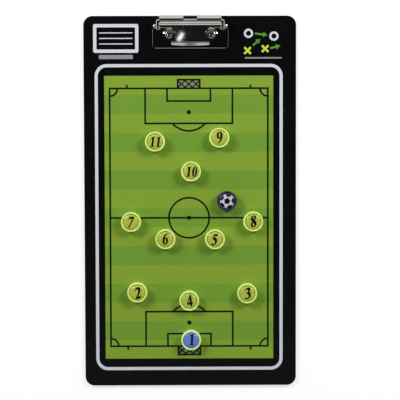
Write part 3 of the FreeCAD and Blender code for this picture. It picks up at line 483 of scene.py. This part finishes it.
def surface_below(node):
    """Return a search tree of a CAD node's mesh, for laying films on it."""
    mesh = NODES[node].data
    points = [vertex.co.copy() for vertex in mesh.vertices]
    return BVHTree.FromPolygons(points, [face.vertices[:] for face in mesh.polygons])


def slice_for_bending(work):
    """Cut a flat mesh along a close square grid, so that it can follow a domed face."""
    for normal in (Vector((1, 0, 0)), Vector((0, 1, 0))):
        reach = [vertex.co.dot(normal) for vertex in work.verts]
        first = min(reach)
        for i in range(1, math.ceil((max(reach) - first) / BENT_STEP)):
            bmesh.ops.bisect_plane(
                work,
                geom=[*work.verts, *work.edges, *work.faces],
                plane_co=normal * (first + i * BENT_STEP),
                plane_no=normal,
                dist=WELD,
            )


def film(name, contours, node, body, material, lift=0.0, domed=False):
    """Lay a thin printed film with the given contours on top of a CAD node, flat or domed."""
    flat = filled_outline(contours)
    work = bmesh.new()
    work.from_mesh(flat)
    bpy.data.meshes.remove(flat)
    bmesh.ops.remove_doubles(work, verts=work.verts, dist=WELD)
    if domed:
        slice_for_bending(work)
    tree = surface_below(node)
    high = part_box(node)[1].z + HEADROOM
    for vertex in work.verts:
        hit = tree.ray_cast(Vector((vertex.co.x, vertex.co.y, high)), Vector((0, 0, -1)))[0]
        vertex.co.z = hit.z + lift
    raised = bmesh.ops.extrude_face_region(work, geom=list(work.faces))
    for item in raised["geom"]:
        if isinstance(item, bmesh.types.BMVert):
            item.co.z += FILM_THICKNESS
    bmesh.ops.triangulate(work, faces=work.faces)
    bmesh.ops.recalc_face_normals(work, faces=work.faces)
    mesh = bpy.data.meshes.new(name)
    work.to_mesh(mesh)
    work.free()
    mesh.materials.append(material)
    piece = new_object(name, mesh)
    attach(piece, body)


def moved(contours, place=(0, 0), size=(1, 1), slant=0.0, turn=0.0):
    """Return contours scaled, slanted, turned about the origin and moved to a place."""
    across, along = math.cos(turn), math.sin(turn)
    result = []
    for contour in contours:
        steps = []
        for step in contour:
            numbers = []
            for x, y in zip(step[0::2], step[1::2]):
                wide = (x + slant * y) * size[0]
                tall = y * size[1]
                numbers.append(place[0] + wide * across - tall * along)
                numbers.append(place[1] + wide * along + tall * across)
            steps.append(tuple(numbers))
        result.append(steps)
    return result


# Numerals: bold serif figures, 100 units tall before they are slanted

ONE = [[
    (3, 0), (47, 0), (47, 7), (39, 7, 37, 9, 37, 15), (37, 100), (33, 100),
    (3, 87), (5, 80), (13, 83, 16, 82, 16, 74), (16, 15), (16, 9, 13, 7, 3, 7),
]]
TWO = [[
    (1, 0), (44, 0), (51, 25), (46, 25), (44, 20, 42, 18.5, 36, 18.5), (23, 18.5),
    (39, 41, 50, 55, 50, 75), (50, 91, 39, 100, 26, 100), (13, 100, 5, 90, 1, 70),
    (6, 68), (9.5, 78, 13, 82, 18.5, 82), (25.5, 82, 29, 77, 29, 68), (29, 51, 18, 33, 1, 7),
]]
THREE = [[
    (3, 75), (7, 92, 16, 100, 27, 100), (39.5, 100, 47, 93, 47, 82.5), (47, 73, 42, 66, 35, 61),
    (45, 56, 51, 47, 51, 34), (51, 12, 37, -1.5, 16, -1.5), (6, -1.5, 1, 2.5, 1, 9),
    (1, 15, 5, 18.5, 10, 18.5), (17, 18.5, 18.5, 9, 23.5, 9), (28.5, 9, 31, 16, 31, 26),
    (31, 40, 25, 46.5, 13, 47.5), (13, 55), (22.5, 58, 27, 64, 27, 73),
    (27, 79.5, 23.5, 83, 18, 83), (14, 83, 11, 80, 8, 73),
]]
FOUR = [
    [
        (26, 0), (46, 0), (46, 18.5), (53, 18.5), (53, 35), (46, 35), (46, 100), (35, 100),
        (-1, 34), (-1, 18.5), (26, 18.5),
    ],
    [(26, 35), (11.5, 35), (26, 66)],
]
FIVE = [[
    (14, 98.5), (40, 98.5), (43.5, 98.5, 45, 100, 46.5, 103), (50, 103), (44.5, 80), (20, 80),
    (18, 73), (38, 69.5, 50, 56, 50, 36), (50, 13, 35, -1.5, 14, -1.5), (5, -1.5, 0, 2.5, 0, 9),
    (0, 15, 4, 18.5, 9, 18.5), (16, 18.5, 18, 9.5, 23, 9.5), (28, 9.5, 30, 16, 30, 27),
    (30, 41, 21, 49.5, 4, 52.5),
]]
SIX = [
    [
        (45, 99.5), (18, 95, 0, 72, 0, 38), (0, 13, 10.5, -1.5, 26, -1.5),
        (41.5, -1.5, 51, 11, 51, 29.5), (51, 48.5, 42, 60.5, 30, 60.5),
        (27, 60.5, 24, 60, 21.5, 58), (24, 77, 31, 87.5, 46, 93.5),
    ],
    [
        (26, 50), (30, 50, 31.5, 42, 31.5, 28.5), (31.5, 13.5, 30, 7, 26, 7),
        (21.3, 7, 20, 16, 20, 33), (20, 39, 20.3, 43, 20.7, 46), (22, 49, 24, 50, 26, 50),
    ],
]
SEVEN = [[
    (5, 98.5), (52, 98.5), (52, 94), (20, -1.5), (8, -1.5), (34, 79), (17, 79),
    (10.5, 79, 8, 76, 5, 66), (0, 67),
]]
EIGHT = [
    [
        (25.5, 100), (39.5, 100, 49, 92, 49, 79.5), (49, 70, 44, 63, 36.5, 57.5),
        (46, 50, 52, 41, 52, 27.5), (52, 9, 41.5, -1.5, 25, -1.5), (9.5, -1.5, 0, 8, 0, 23),
        (0, 34, 5.5, 41, 14.5, 47), (6.5, 54, 2, 62, 2, 73.5), (2, 90, 11.5, 100, 25.5, 100),
    ],
    [
        (25.5, 91.5), (21.5, 91.5, 20, 88, 20, 83.5), (20, 77, 23.5, 71.5, 29, 66.5),
        (31, 70.5, 31.5, 74.5, 31.5, 79), (31.5, 87.5, 29.5, 91.5, 25.5, 91.5),
    ],
    [
        (25, 7.5), (29.5, 7.5, 31.5, 11.5, 31.5, 16), (31.5, 23.5, 27.5, 30, 21, 37.5),
        (18.8, 33.5, 18, 28, 18, 22), (18, 12.5, 20.5, 7.5, 25, 7.5),
    ],
]
ZERO = [
    [
        (25.5, 100), (41.5, 100, 51.5, 80, 51.5, 49.5), (51.5, 19, 41.5, -1.5, 25.5, -1.5),
        (9.5, -1.5, -0.5, 19, -0.5, 49.5), (-0.5, 80, 9.5, 100, 25.5, 100),
    ],
    [
        (25.5, 91), (21.5, 91, 20, 81, 20, 49.5), (20, 18, 21.5, 7.5, 25.5, 7.5),
        (29.5, 7.5, 31, 18, 31, 49.5), (31, 81, 29.5, 91, 25.5, 91),
    ],
]
# A nine is a six upside down
NINE = moved(SIX, (51, 98.5), (-1, -1))
FIGURES = [ZERO, ONE, TWO, THREE, FOUR, FIVE, SIX, SEVEN, EIGHT, NINE]
# In the units of the figures: their height, the middle of their width and the way to the next one
FIGURE_UNITS = 100
FIGURE_MIDDLE = 25.5
FIGURE_ADVANCE = 60
# The slant as a share of the height, the printed heights and the width as a share of the drawn one
FIGURE_SLANT = 0.15
FIGURE_HEIGHT = 12.4 * MM
PAIR_HEIGHT = 11.2 * MM
FIGURE_CONDENSE = 0.95
# How each number lies: its turn to the left in degrees, how far it is off the counter's middle,
# across and up, in millimetres, and its width as a share of the usual one
FIGURE_LIE = {
    1: (5, 0.8, 1.2, 1.0),
    2: (15, 0.8, 0.0, 1.12),
    3: (9, 0.6, 0.6, 1.12),
    4: (16, 0.4, 0.4, 1.0),
    5: (0, -0.3, 0.0, 0.97),
    6: (3, 0.1, 0.8, 1.03),
    7: (-2, 0.0, 0.2, 0.97),
    8: (9, 0.2, 0.7, 1.04),
    9: (9, 0.3, 0.5, 1.06),
    10: (0, 0.9, 0.1, 1.0),
    11: (0, 0.8, 0.1, 0.97),
}


def number_contours(number, x, y):
    """Return the contours of a one- or two-figure number about a middle point."""
    text = str(number)
    height = FIGURE_HEIGHT if len(text) == 1 else PAIR_HEIGHT
    unit = height / FIGURE_UNITS
    contours = []
    for i, figure in enumerate(text):
        shift = (i - (len(text) - 1) / 2) * FIGURE_ADVANCE - FIGURE_MIDDLE
        contours += moved(FIGURES[int(figure)], (shift, -FIGURE_UNITS / 2))
    turn, off_x, off_y, width = FIGURE_LIE[number]
    place = (x + off_x * MM, y + off_y * MM)
    size = (unit * FIGURE_CONDENSE * width, unit)
    return moved(contours, place, size, FIGURE_SLANT, math.radians(turn))


def middle_of(node):
    """Return the middle of a node's box."""
    low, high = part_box(node)
    return (low + high) / 2


def print_numbers():
    """Print each player's and the keeper's number on its counter."""
    for name in COUNTERS:
        if name == "ball":
            continue
        face = name + "_face"
        middle = middle_of(face)
        number = int(name.split("_")[1])
        ink = NAVY_INK if name.startswith("keeper") else FINISHES["print_black"]
        contours = number_contours(number, middle.x, middle.y)
        film(name + "_number", contours, face, name, ink, domed=True)


# Ball printed on the ball counter

BALL_RADIUS = 7.7 * MM
BALL_TURN = math.radians(77)
# On a real ball a black patch's corners lie a third of the way to the next patches
PATCH_GROWTH = 1.28
PATCH_REACH = PATCH_GROWTH / 3
# On a ball of radius 1: how far to the front a patch or a seam has to reach to be drawn, a seam's
# width, and the points along a patch's edge
PATCH_FRONT = 0.05
SEAM_FRONT = 0.85
SEAM_WIDTH = 0.06
EDGE_STEPS = 6
# Handle of a curve that follows a quarter of a circle of radius 1
CIRCLE_HANDLE = 0.5523
UNIT_CIRCLE = [
    (1, 0),
    (1, CIRCLE_HANDLE, CIRCLE_HANDLE, 1, 0, 1),
    (-CIRCLE_HANDLE, 1, -1, CIRCLE_HANDLE, -1, 0),
    (-1, -CIRCLE_HANDLE, -CIRCLE_HANDLE, -1, 0, -1),
    (CIRCLE_HANDLE, -1, 1, -CIRCLE_HANDLE, 1, 0),
]


def ball_corners():
    """Return the middles of a football's twelve black patches, one of them in front."""
    golden = (1 + math.sqrt(5)) / 2
    corners = []
    for a in (-1, 1):
        for b in (-golden, golden):
            corners += [Vector((0, a, b)), Vector((a, b, 0)), Vector((b, 0, a))]
    corners = [corner.normalized() for corner in corners]
    to_front = corners[0].rotation_difference(Vector((0, 0, 1))).to_matrix()
    corners = [to_front @ corner for corner in corners]
    # The five patches round the one in front lie at this height
    next_height = 1 / math.sqrt(5)
    side = min(corners, key=lambda corner: abs(corner.z - next_height))
    spin = Matrix.Rotation(BALL_TURN - math.atan2(side.y, side.x), 3, "Z")
    return [spin @ corner for corner in corners]


def neighbours(corner, corners):
    """Return the five patches that are next to one."""
    return sorted(corners, key=lambda other: -other.dot(corner))[1:6]


def flat_on_disc(point):
    """Return where a point of the unit ball shows on the disc, held to its rim behind it."""
    flat = Vector((point.x, point.y))
    if point.z < 0:
        flat.normalize()
    return (flat.x, flat.y)


def bearing(step, first, across):
    """Return the angle of a step, counted from one direction towards another across it."""
    return math.atan2(step.dot(across), step.dot(first))


def ball_patches(corners):
    """Return the black five-sided patches of a football seen from in front, as contours."""
    patches = []
    for corner in corners:
        around = neighbours(corner, corners)
        points = [corner.lerp(other, PATCH_REACH).normalized() for other in around]
        first = (points[0] - corner).normalized()
        across = corner.cross(first)
        points.sort(key=lambda point: bearing(point - corner, first, across))
        outline = []
        for begin, finish in zip(points, points[1:] + points[:1]):
            for step in range(EDGE_STEPS):
                outline.append(begin.lerp(finish, step / EDGE_STEPS).normalized())
        if max(point.z for point in outline) > PATCH_FRONT:
            patches.append([flat_on_disc(point) for point in outline])
    return patches


def ball_seams(corners):
    """Return the seams that join the patches in front, as contours."""
    seams = []
    for i, corner in enumerate(corners):
        for other in neighbours(corner, corners):
            begin = corner.lerp(other, PATCH_REACH).normalized()
            finish = other.lerp(corner, PATCH_REACH).normalized()
            if corners.index(other) > i and max(begin.z, finish.z) > SEAM_FRONT:
                side = begin.cross(finish).normalized() * (SEAM_WIDTH / 2)
                ends = (begin + side, finish + side, finish - side, begin - side)
                seams.append([flat_on_disc(end) for end in ends])
    return seams


def print_ball():
    """Print a football on the ball counter: a white disc, and the patches and seams over it."""
    face = "ball_face"
    middle = middle_of(face)
    place = (middle.x, middle.y)
    size = (BALL_RADIUS, BALL_RADIUS)
    disc = moved([UNIT_CIRCLE], place, size)
    film("ball_white", disc, face, "ball", PALE_INK, domed=True)
    ink = FINISHES["print_black"]
    corners = ball_corners()
    drawings = {"ball_patches": ball_patches(corners), "ball_seams": ball_seams(corners)}
    for name, drawn in drawings.items():
        contours = moved(drawn, place, size)
        film(name, contours, face, "ball", ink, lift=FILM_THICKNESS, domed=True)


# Blank name panel and a plain tactics sketch above the pitch

PANEL_MIDDLE = (-80.0 * MM, 176.8 * MM)
PANEL_SIZE = (49.0 * MM, 31.0 * MM)
PANEL_BORDER = 3.6 * MM
PANEL_CORNER = 2.0 * MM
PANEL_INNER_CORNER = PANEL_CORNER / 2
RULE_COUNT = 3
RULE_WIDTH = 1.1 * MM
RULE_CORNER = RULE_WIDTH / 3
# Length of a rule as a share of the panel's inside
RULE_REACH = 0.86
STRIP_MIDDLE = (-80.0 * MM, 156.8 * MM)
STRIP_SIZE = (37.0 * MM, 4.4 * MM)
STRIP_CORNER = STRIP_SIZE[1] / 4
# Places of the sketch's marks, and the start and tip of its arrows, in millimetres
SKETCH_RINGS = ((63.5, 182.0), (91.0, 179.0))
SKETCH_CROSSES = ((62.5, 163.5), (81.5, 165.5))
SKETCH_ARROWS = (
    ((70.5, 181.8), (84.0, 180.2)),
    ((68.2, 168.9), (76.4, 176.0)),
    ((87.0, 165.9), (98.0, 168.8)),
)
SKETCH_RULE = ((79.5 * MM, 155.6 * MM), (40.0 * MM, 1.6 * MM))
MARK_RADIUS = 5.0 * MM
# A ring's hole and half the width of a cross's arm, as shares of that radius
RING_HOLE = 0.56
CROSS_ARM = 0.24
ARROW_WIDTH = 2.2 * MM
ARROW_HEAD = 6.0 * MM
# Length of an arrow's head as a share of its width
ARROW_HEAD_LENGTH = 0.8
UNIT_CROSS = [
    (CROSS_ARM, CROSS_ARM), (CROSS_ARM, 1), (-CROSS_ARM, 1), (-CROSS_ARM, CROSS_ARM),
    (-1, CROSS_ARM), (-1, -CROSS_ARM), (-CROSS_ARM, -CROSS_ARM), (-CROSS_ARM, -1),
    (CROSS_ARM, -1), (CROSS_ARM, -CROSS_ARM), (1, -CROSS_ARM), (1, CROSS_ARM),
]


def rounded_box(middle, size, corner):
    """Return the contour of a rectangle with rounded corners."""
    handle = corner * (1 - CIRCLE_HANDLE)
    right, top = size[0] / 2, size[1] / 2
    x, y = middle
    return [
        (x + right, y + top - corner),
        (x + right, y + top - handle, x + right - handle, y + top, x + right - corner, y + top),
        (x - right + corner, y + top),
        (x - right + handle, y + top, x - right, y + top - handle, x - right, y + top - corner),
        (x - right, y - top + corner),
        (x - right, y - top + handle, x - right + handle, y - top, x - right + corner, y - top),
        (x + right - corner, y - top),
        (x + right - handle, y - top, x + right, y - top + handle, x + right, y - top + corner),
    ]


def arrow(start, end):
    """Return the contour of a straight arrow between two points given in millimetres."""
    begin = Vector(start) * MM
    tip = Vector(end) * MM
    way = (tip - begin).normalized()
    side = Vector((-way.y, way.x))
    neck = tip - way * ARROW_HEAD * ARROW_HEAD_LENGTH
    points = (
        begin + side * ARROW_WIDTH / 2,
        neck + side * ARROW_WIDTH / 2,
        neck + side * ARROW_HEAD / 2,
        tip,
        neck - side * ARROW_HEAD / 2,
        neck - side * ARROW_WIDTH / 2,
        begin - side * ARROW_WIDTH / 2,
    )
    return [tuple(point) for point in points]


def print_top_of_board():
    """Print a blank name panel on the left of the clip and a tactics sketch on the right."""
    inside = (PANEL_SIZE[0] - 2 * PANEL_BORDER, PANEL_SIZE[1] - 2 * PANEL_BORDER)
    panel = [
        rounded_box(PANEL_MIDDLE, PANEL_SIZE, PANEL_CORNER),
        rounded_box(PANEL_MIDDLE, inside, PANEL_INNER_CORNER),
    ]
    white = FINISHES["print_white"]
    film("name_panel", panel, "face_sheet", "board", white)
    rules = []
    rule_size = (inside[0] * RULE_REACH, RULE_WIDTH)
    for i in range(RULE_COUNT):
        level = PANEL_MIDDLE[1] + inside[1] * ((i + 1) / (RULE_COUNT + 1) - 0.5)
        rules.append(rounded_box((PANEL_MIDDLE[0], level), rule_size, RULE_CORNER))
    film("name_rules", rules, "face_sheet", "board", white)
    strip = [rounded_box(STRIP_MIDDLE, STRIP_SIZE, STRIP_CORNER)]
    film("note_strip", strip, "face_sheet", "board", GREY_INK)

    rings = []
    for place in SKETCH_RINGS:
        for radius in (MARK_RADIUS, MARK_RADIUS * RING_HOLE):
            rings += moved([UNIT_CIRCLE], Vector(place) * MM, (radius, radius))
    film("sketch_rings", rings, "face_sheet", "board", white)
    crosses = []
    cross_size = (MARK_RADIUS, MARK_RADIUS)
    for place in SKETCH_CROSSES:
        crosses += moved([UNIT_CROSS], Vector(place) * MM, cross_size, turn=math.pi / 4)
    film("sketch_crosses", crosses, "face_sheet", "board", YELLOW_INK)
    arrows = [arrow(begin, tip) for begin, tip in SKETCH_ARROWS]
    film("sketch_arrows", arrows, "face_sheet", "board", GREEN_INK)
    rule = [rounded_box(*SKETCH_RULE, RULE_CORNER)]
    film("sketch_rule", rule, "face_sheet", "board", GREY_INK)


# Clip spring

WIRE_RADIUS = 0.55 * MM
COIL_RADIUS = 2.1 * MM
COIL_PITCH = 1.65 * MM
COIL_TURNS = 7
LEVER_LEG_REACH = 6.8 * MM
BASE_LEG_SLOPE = math.radians(35)
# How finely the wire is drawn
STEPS_PER_TURN = 48
WIRE_SIDES = 20
LEG_STEPS = 12


def tube(name, path, radius, sides):
    """Return the mesh of a round tube, closed at both ends, along points and their directions."""
    work = bmesh.new()
    rings = []
    for point, way in path:
        side = way.cross(Vector((1, 0, 0))).normalized()
        top = side.cross(way)
        ring = []
        for j in range(sides):
            turn = 2 * math.pi * j / sides
            spoke = side * math.cos(turn) + top * math.sin(turn)
            ring.append(work.verts.new(point + spoke * radius))
        rings.append(ring)
    for ring, following in zip(rings, rings[1:]):
        for j in range(sides):
            k = (j + 1) % sides
            work.faces.new((ring[j], ring[k], following[k], following[j]))
    work.faces.new(rings[0])
    work.faces.new(rings[-1])
    bmesh.ops.recalc_face_normals(work, faces=work.faces)
    for face in work.faces:
        face.smooth = len(face.verts) == 4
    mesh = bpy.data.meshes.new(name)
    work.to_mesh(mesh)
    work.free()
    return mesh


def wind_spring():
    """Wind the torsion spring again as a smooth tube, and hide the CAD spring that it stands in
    for.
    """
    hinge = next(joint for joint in frame["joints"] if joint["name"] == "clip_open")
    centre = Vector(hinge["pos_m"])
    low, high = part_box("torsion_spring")
    leg_top = high.z - centre.z
    leg_line = math.atan2(leg_top, LEVER_LEG_REACH)
    coil_outside = COIL_RADIUS + WIRE_RADIUS
    leg_slope = leg_line - math.asin(coil_outside / math.hypot(leg_top, LEVER_LEG_REACH))
    first = math.pi / 2 + leg_slope
    last = math.pi / 2 + BASE_LEG_SLOPE + 2 * math.pi * COIL_TURNS
    climb = COIL_PITCH / (2 * math.pi)
    start_x = -climb * (last - first) / 2

    def on_coil(angle):
        """Return the middle of the wire at an angle of the coil."""
        x = start_x + climb * (angle - first)
        return centre + Vector((x, COIL_RADIUS * math.cos(angle), COIL_RADIUS * math.sin(angle)))

    def direction(angle):
        """Return the way that the wire runs at an angle of the coil."""
        way = Vector((climb, -COIL_RADIUS * math.sin(angle), COIL_RADIUS * math.cos(angle)))
        return way.normalized()

    lever_leg = -direction(first)
    base_leg = direction(last)
    lever_rise = high.z - on_coil(first).z - WIRE_RADIUS * math.hypot(lever_leg.x, lever_leg.y)
    lever_length = lever_rise / lever_leg.z
    base_rise = low.z - on_coil(last).z + WIRE_RADIUS * math.hypot(base_leg.x, base_leg.y)
    base_length = base_rise / base_leg.z
    path = []
    for i in range(LEG_STEPS, 0, -1):
        path.append((on_coil(first) + lever_leg * (lever_length * i / LEG_STEPS), -lever_leg))
    steps = round(STEPS_PER_TURN * (last - first) / (2 * math.pi))
    for i in range(steps + 1):
        angle = first + (last - first) * i / steps
        path.append((on_coil(angle), direction(angle)))
    for i in range(1, LEG_STEPS + 1):
        path.append((on_coil(last) + base_leg * (base_length * i / LEG_STEPS), base_leg))

    mesh = tube("wound_spring", path, WIRE_RADIUS, WIRE_SIDES)
    mesh.materials.append(FINISHES["spring_wire"])
    spring = new_object("wound_spring", mesh)
    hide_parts("torsion_spring")
    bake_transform(spring)


# Light, floor and camera

CAMERA_PLACE = Vector((3.69, 58.22, 1306.8)) * MM
CAMERA_VIEW = Vector((0.00531, -0.04324, -0.99905))
CAMERA_UP = Vector((0.00278, 0.99906, -0.04323))
CAMERA_LENS = 108
SENSOR_WIDTH = 36
# Two softboxes past the clip's end: above the floor by an angle, and swung to each side by another
SOFTBOX_DISTANCE = 1.5
SOFTBOX_SIZE = 0.45
SOFTBOX_HEIGHT = math.radians(35.0)
SOFTBOX_SWING = math.radians(54.6)
SOFTBOX_POWER = 14.2
# The glint's lamp: the spot that it aims at, the way from there to the lamp, the way of its long
# side, and its light
GLINT_SPOT = Vector((-10.0, 178.0, 7.6)) * MM
GLINT_WAY = Vector((-0.0105, -0.661, 0.7494))
GLINT_LONG_WAY = Vector((0.5, 0.617, 0.544))
GLINT_DISTANCE = 1.5
GLINT_SIZE = (8 * MM, 20 * MM)
GLINT_POWER = 0.0011
GLINT_COLOUR = (0.82, 0.91, 1.0)
# The floor: its size, its plain surface, and the share and strength of its own glow to the eye
FLOOR_REACH = 6.0
FLOOR_CELLS = 8
FLOOR_COLOUR = (0.9, 0.9, 0.9, 1)
FLOOR_ROUGHNESS = 0.9
FLOOR_GLOSS = 0.1
FLOOR_GLOW = 0.6
FLOOR_GLOW_STRENGTH = 1.15


def make_camera():
    """Set the camera where the photo was taken from."""
    data = bpy.data.cameras.new("camera")
    data.lens = CAMERA_LENS
    data.sensor_width = SENSOR_WIDTH
    camera = new_object("camera", data)
    back = -CAMERA_VIEW.normalized()
    right = CAMERA_UP.cross(back).normalized()
    up = back.cross(right)
    turn = Matrix((right, up, back)).transposed()
    camera.matrix_world = Matrix.Translation(CAMERA_PLACE) @ turn.to_4x4()
    bpy.context.scene.camera = camera


def make_softboxes():
    """Light the board with two softboxes, left and right of the clip's end."""
    for name, side in (("softbox_left", -1), ("softbox_right", 1)):
        data = bpy.data.lights.new(name, "AREA")
        data.shape = "SQUARE"
        data.size = SOFTBOX_SIZE
        data.energy = SOFTBOX_POWER
        flat = math.cos(SOFTBOX_HEIGHT)
        way = Vector((
            side * math.sin(SOFTBOX_SWING) * flat,
            math.cos(SOFTBOX_SWING) * flat,
            math.sin(SOFTBOX_HEIGHT),
        ))
        lamp = new_object(name, data)
        lamp.location = way * SOFTBOX_DISTANCE
        lamp.rotation_mode = "QUATERNION"
        lamp.rotation_quaternion = way.to_track_quat("Z", "Y")


def make_glint():
    """A small cool lamp that the bright jaw of the clip mirrors as a slanting streak."""
    data = bpy.data.lights.new("glint", "AREA")
    data.shape = "RECTANGLE"
    data.size, data.size_y = GLINT_SIZE
    data.energy = GLINT_POWER
    data.color = GLINT_COLOUR
    lamp = new_object("glint", data)
    away = GLINT_WAY.normalized()
    across = GLINT_LONG_WAY.cross(away).normalized()
    turn = Matrix((across, away.cross(across), away)).transposed()
    lamp.matrix_world = Matrix.Translation(GLINT_SPOT + away * GLINT_DISTANCE) @ turn.to_4x4()


# Height above the horizon, as the sine of its angle, and the light that comes from there
SKY = ((0.0, 0.88), (0.34, 0.88), (0.44, 0.3), (0.53, 0.02), (1.0, 0.006))
# A pale screen past the clip's end of the board: where it starts along Y, where it ends in height,
# its light, and the darker seam between its two halves
SCREEN_SIDE = (0.42, 0.62)
SCREEN_TOP = (0.62, 0.72)
SCREEN_LIGHT = 0.7
SCREEN_SEAM = -0.0023
SCREEN_SEAM_EDGE = (0.0028, 0.0056)
SCREEN_SEAM_LIGHT = 0.3
# A panel overhead, towards the board's other end: where it ends along Y, where it starts in
# height, and its light
OVERHEAD_SIDE = (-0.34, -0.14)
OVERHEAD_FOOT = (0.8, 0.9)
OVERHEAD_LIGHT = 0.7


def make_world():
    """A dim studio: a pale ring above the horizon, a pale screen and a panel overhead."""
    world = bpy.data.worlds.new("studio")
    world.use_nodes = True
    tree = world.node_tree
    place = tree.nodes.new("ShaderNodeTexCoord")
    split = tree.nodes.new("ShaderNodeSeparateXYZ")
    tree.links.new(place.outputs["Generated"], split.inputs[0])
    across, along, height = split.outputs
    ramp = tree.nodes.new("ShaderNodeValToRGB")
    tree.links.new(height, ramp.inputs["Fac"])
    stops = ramp.color_ramp.elements
    while len(stops) < len(SKY):
        stops.new(1.0)
    for stop, (level, light) in zip(stops, SKY):
        stop.position = level
        stop.color = (light, light, light, 1)
    screen_side = ramped(tree, along, over=SCREEN_SIDE, to=(0.0, SCREEN_LIGHT))
    screen_top = ramped(tree, height, over=SCREEN_TOP, to=(1.0, 0.0))
    off_seam = joined(tree, "ABSOLUTE", joined(tree, "SUBTRACT", across, SCREEN_SEAM))
    seam = ramped(tree, off_seam, over=SCREEN_SEAM_EDGE, to=(SCREEN_SEAM_LIGHT, 1.0))
    screen = joined(tree, "MULTIPLY", joined(tree, "MULTIPLY", screen_side, screen_top), seam)
    overhead_side = ramped(tree, along, over=OVERHEAD_SIDE, to=(OVERHEAD_LIGHT, 0.0))
    overhead_foot = ramped(tree, height, over=OVERHEAD_FOOT, to=(0.0, 1.0))
    overhead = joined(tree, "MULTIPLY", overhead_side, overhead_foot)
    brightest = joined(tree, "MAXIMUM", ramp.outputs["Color"], screen)
    brightest = joined(tree, "MAXIMUM", brightest, overhead)
    background = tree.nodes["Background"]
    background.inputs["Color"].default_value = (1, 1, 1, 1)
    tree.links.new(brightest, background.inputs["Strength"])
    bpy.context.scene.world = world


def make_floor():
    """A pale floor that shows white to the eye and keeps the object's shadow."""
    work = bmesh.new()
    bmesh.ops.create_grid(work, x_segments=FLOOR_CELLS, y_segments=FLOOR_CELLS, size=FLOOR_REACH)
    mesh = bpy.data.meshes.new("floor")
    work.to_mesh(mesh)
    work.free()
    material = bpy.data.materials.new("pale_floor")
    material.use_nodes = True
    tree = material.node_tree
    shader = tree.nodes["Principled BSDF"]
    shader.inputs["Base Color"].default_value = FLOOR_COLOUR
    shader.inputs["Roughness"].default_value = FLOOR_ROUGHNESS
    shader.inputs["Specular IOR Level"].default_value = FLOOR_GLOSS
    rays = tree.nodes.new("ShaderNodeLightPath").outputs
    seen = joined(tree, "MAXIMUM", rays["Is Camera Ray"], rays["Is Glossy Ray"])
    seen = joined(tree, "MAXIMUM", seen, rays["Is Transmission Ray"])
    share = joined(tree, "MULTIPLY", seen, FLOOR_GLOW)
    glow = tree.nodes.new("ShaderNodeEmission")
    glow.inputs["Strength"].default_value = FLOOR_GLOW_STRENGTH
    mixed = tree.nodes.new("ShaderNodeMixShader")
    tree.links.new(share, mixed.inputs["Fac"])
    tree.links.new(shader.outputs[0], mixed.inputs[1])
    tree.links.new(glow.outputs[0], mixed.inputs[2])
    tree.links.new(mixed.outputs[0], tree.nodes["Material Output"].inputs["Surface"])
    mesh.materials.append(material)
    new_object("floor", mesh)


dress_cad_nodes()
break_base_edges()
print_numbers()
print_ball()
print_top_of_board()
wind_spring()
make_camera()
make_softboxes()
make_glint()
make_world()
make_floor()
bpy.context.scene.view_settings.view_transform = "Standard"
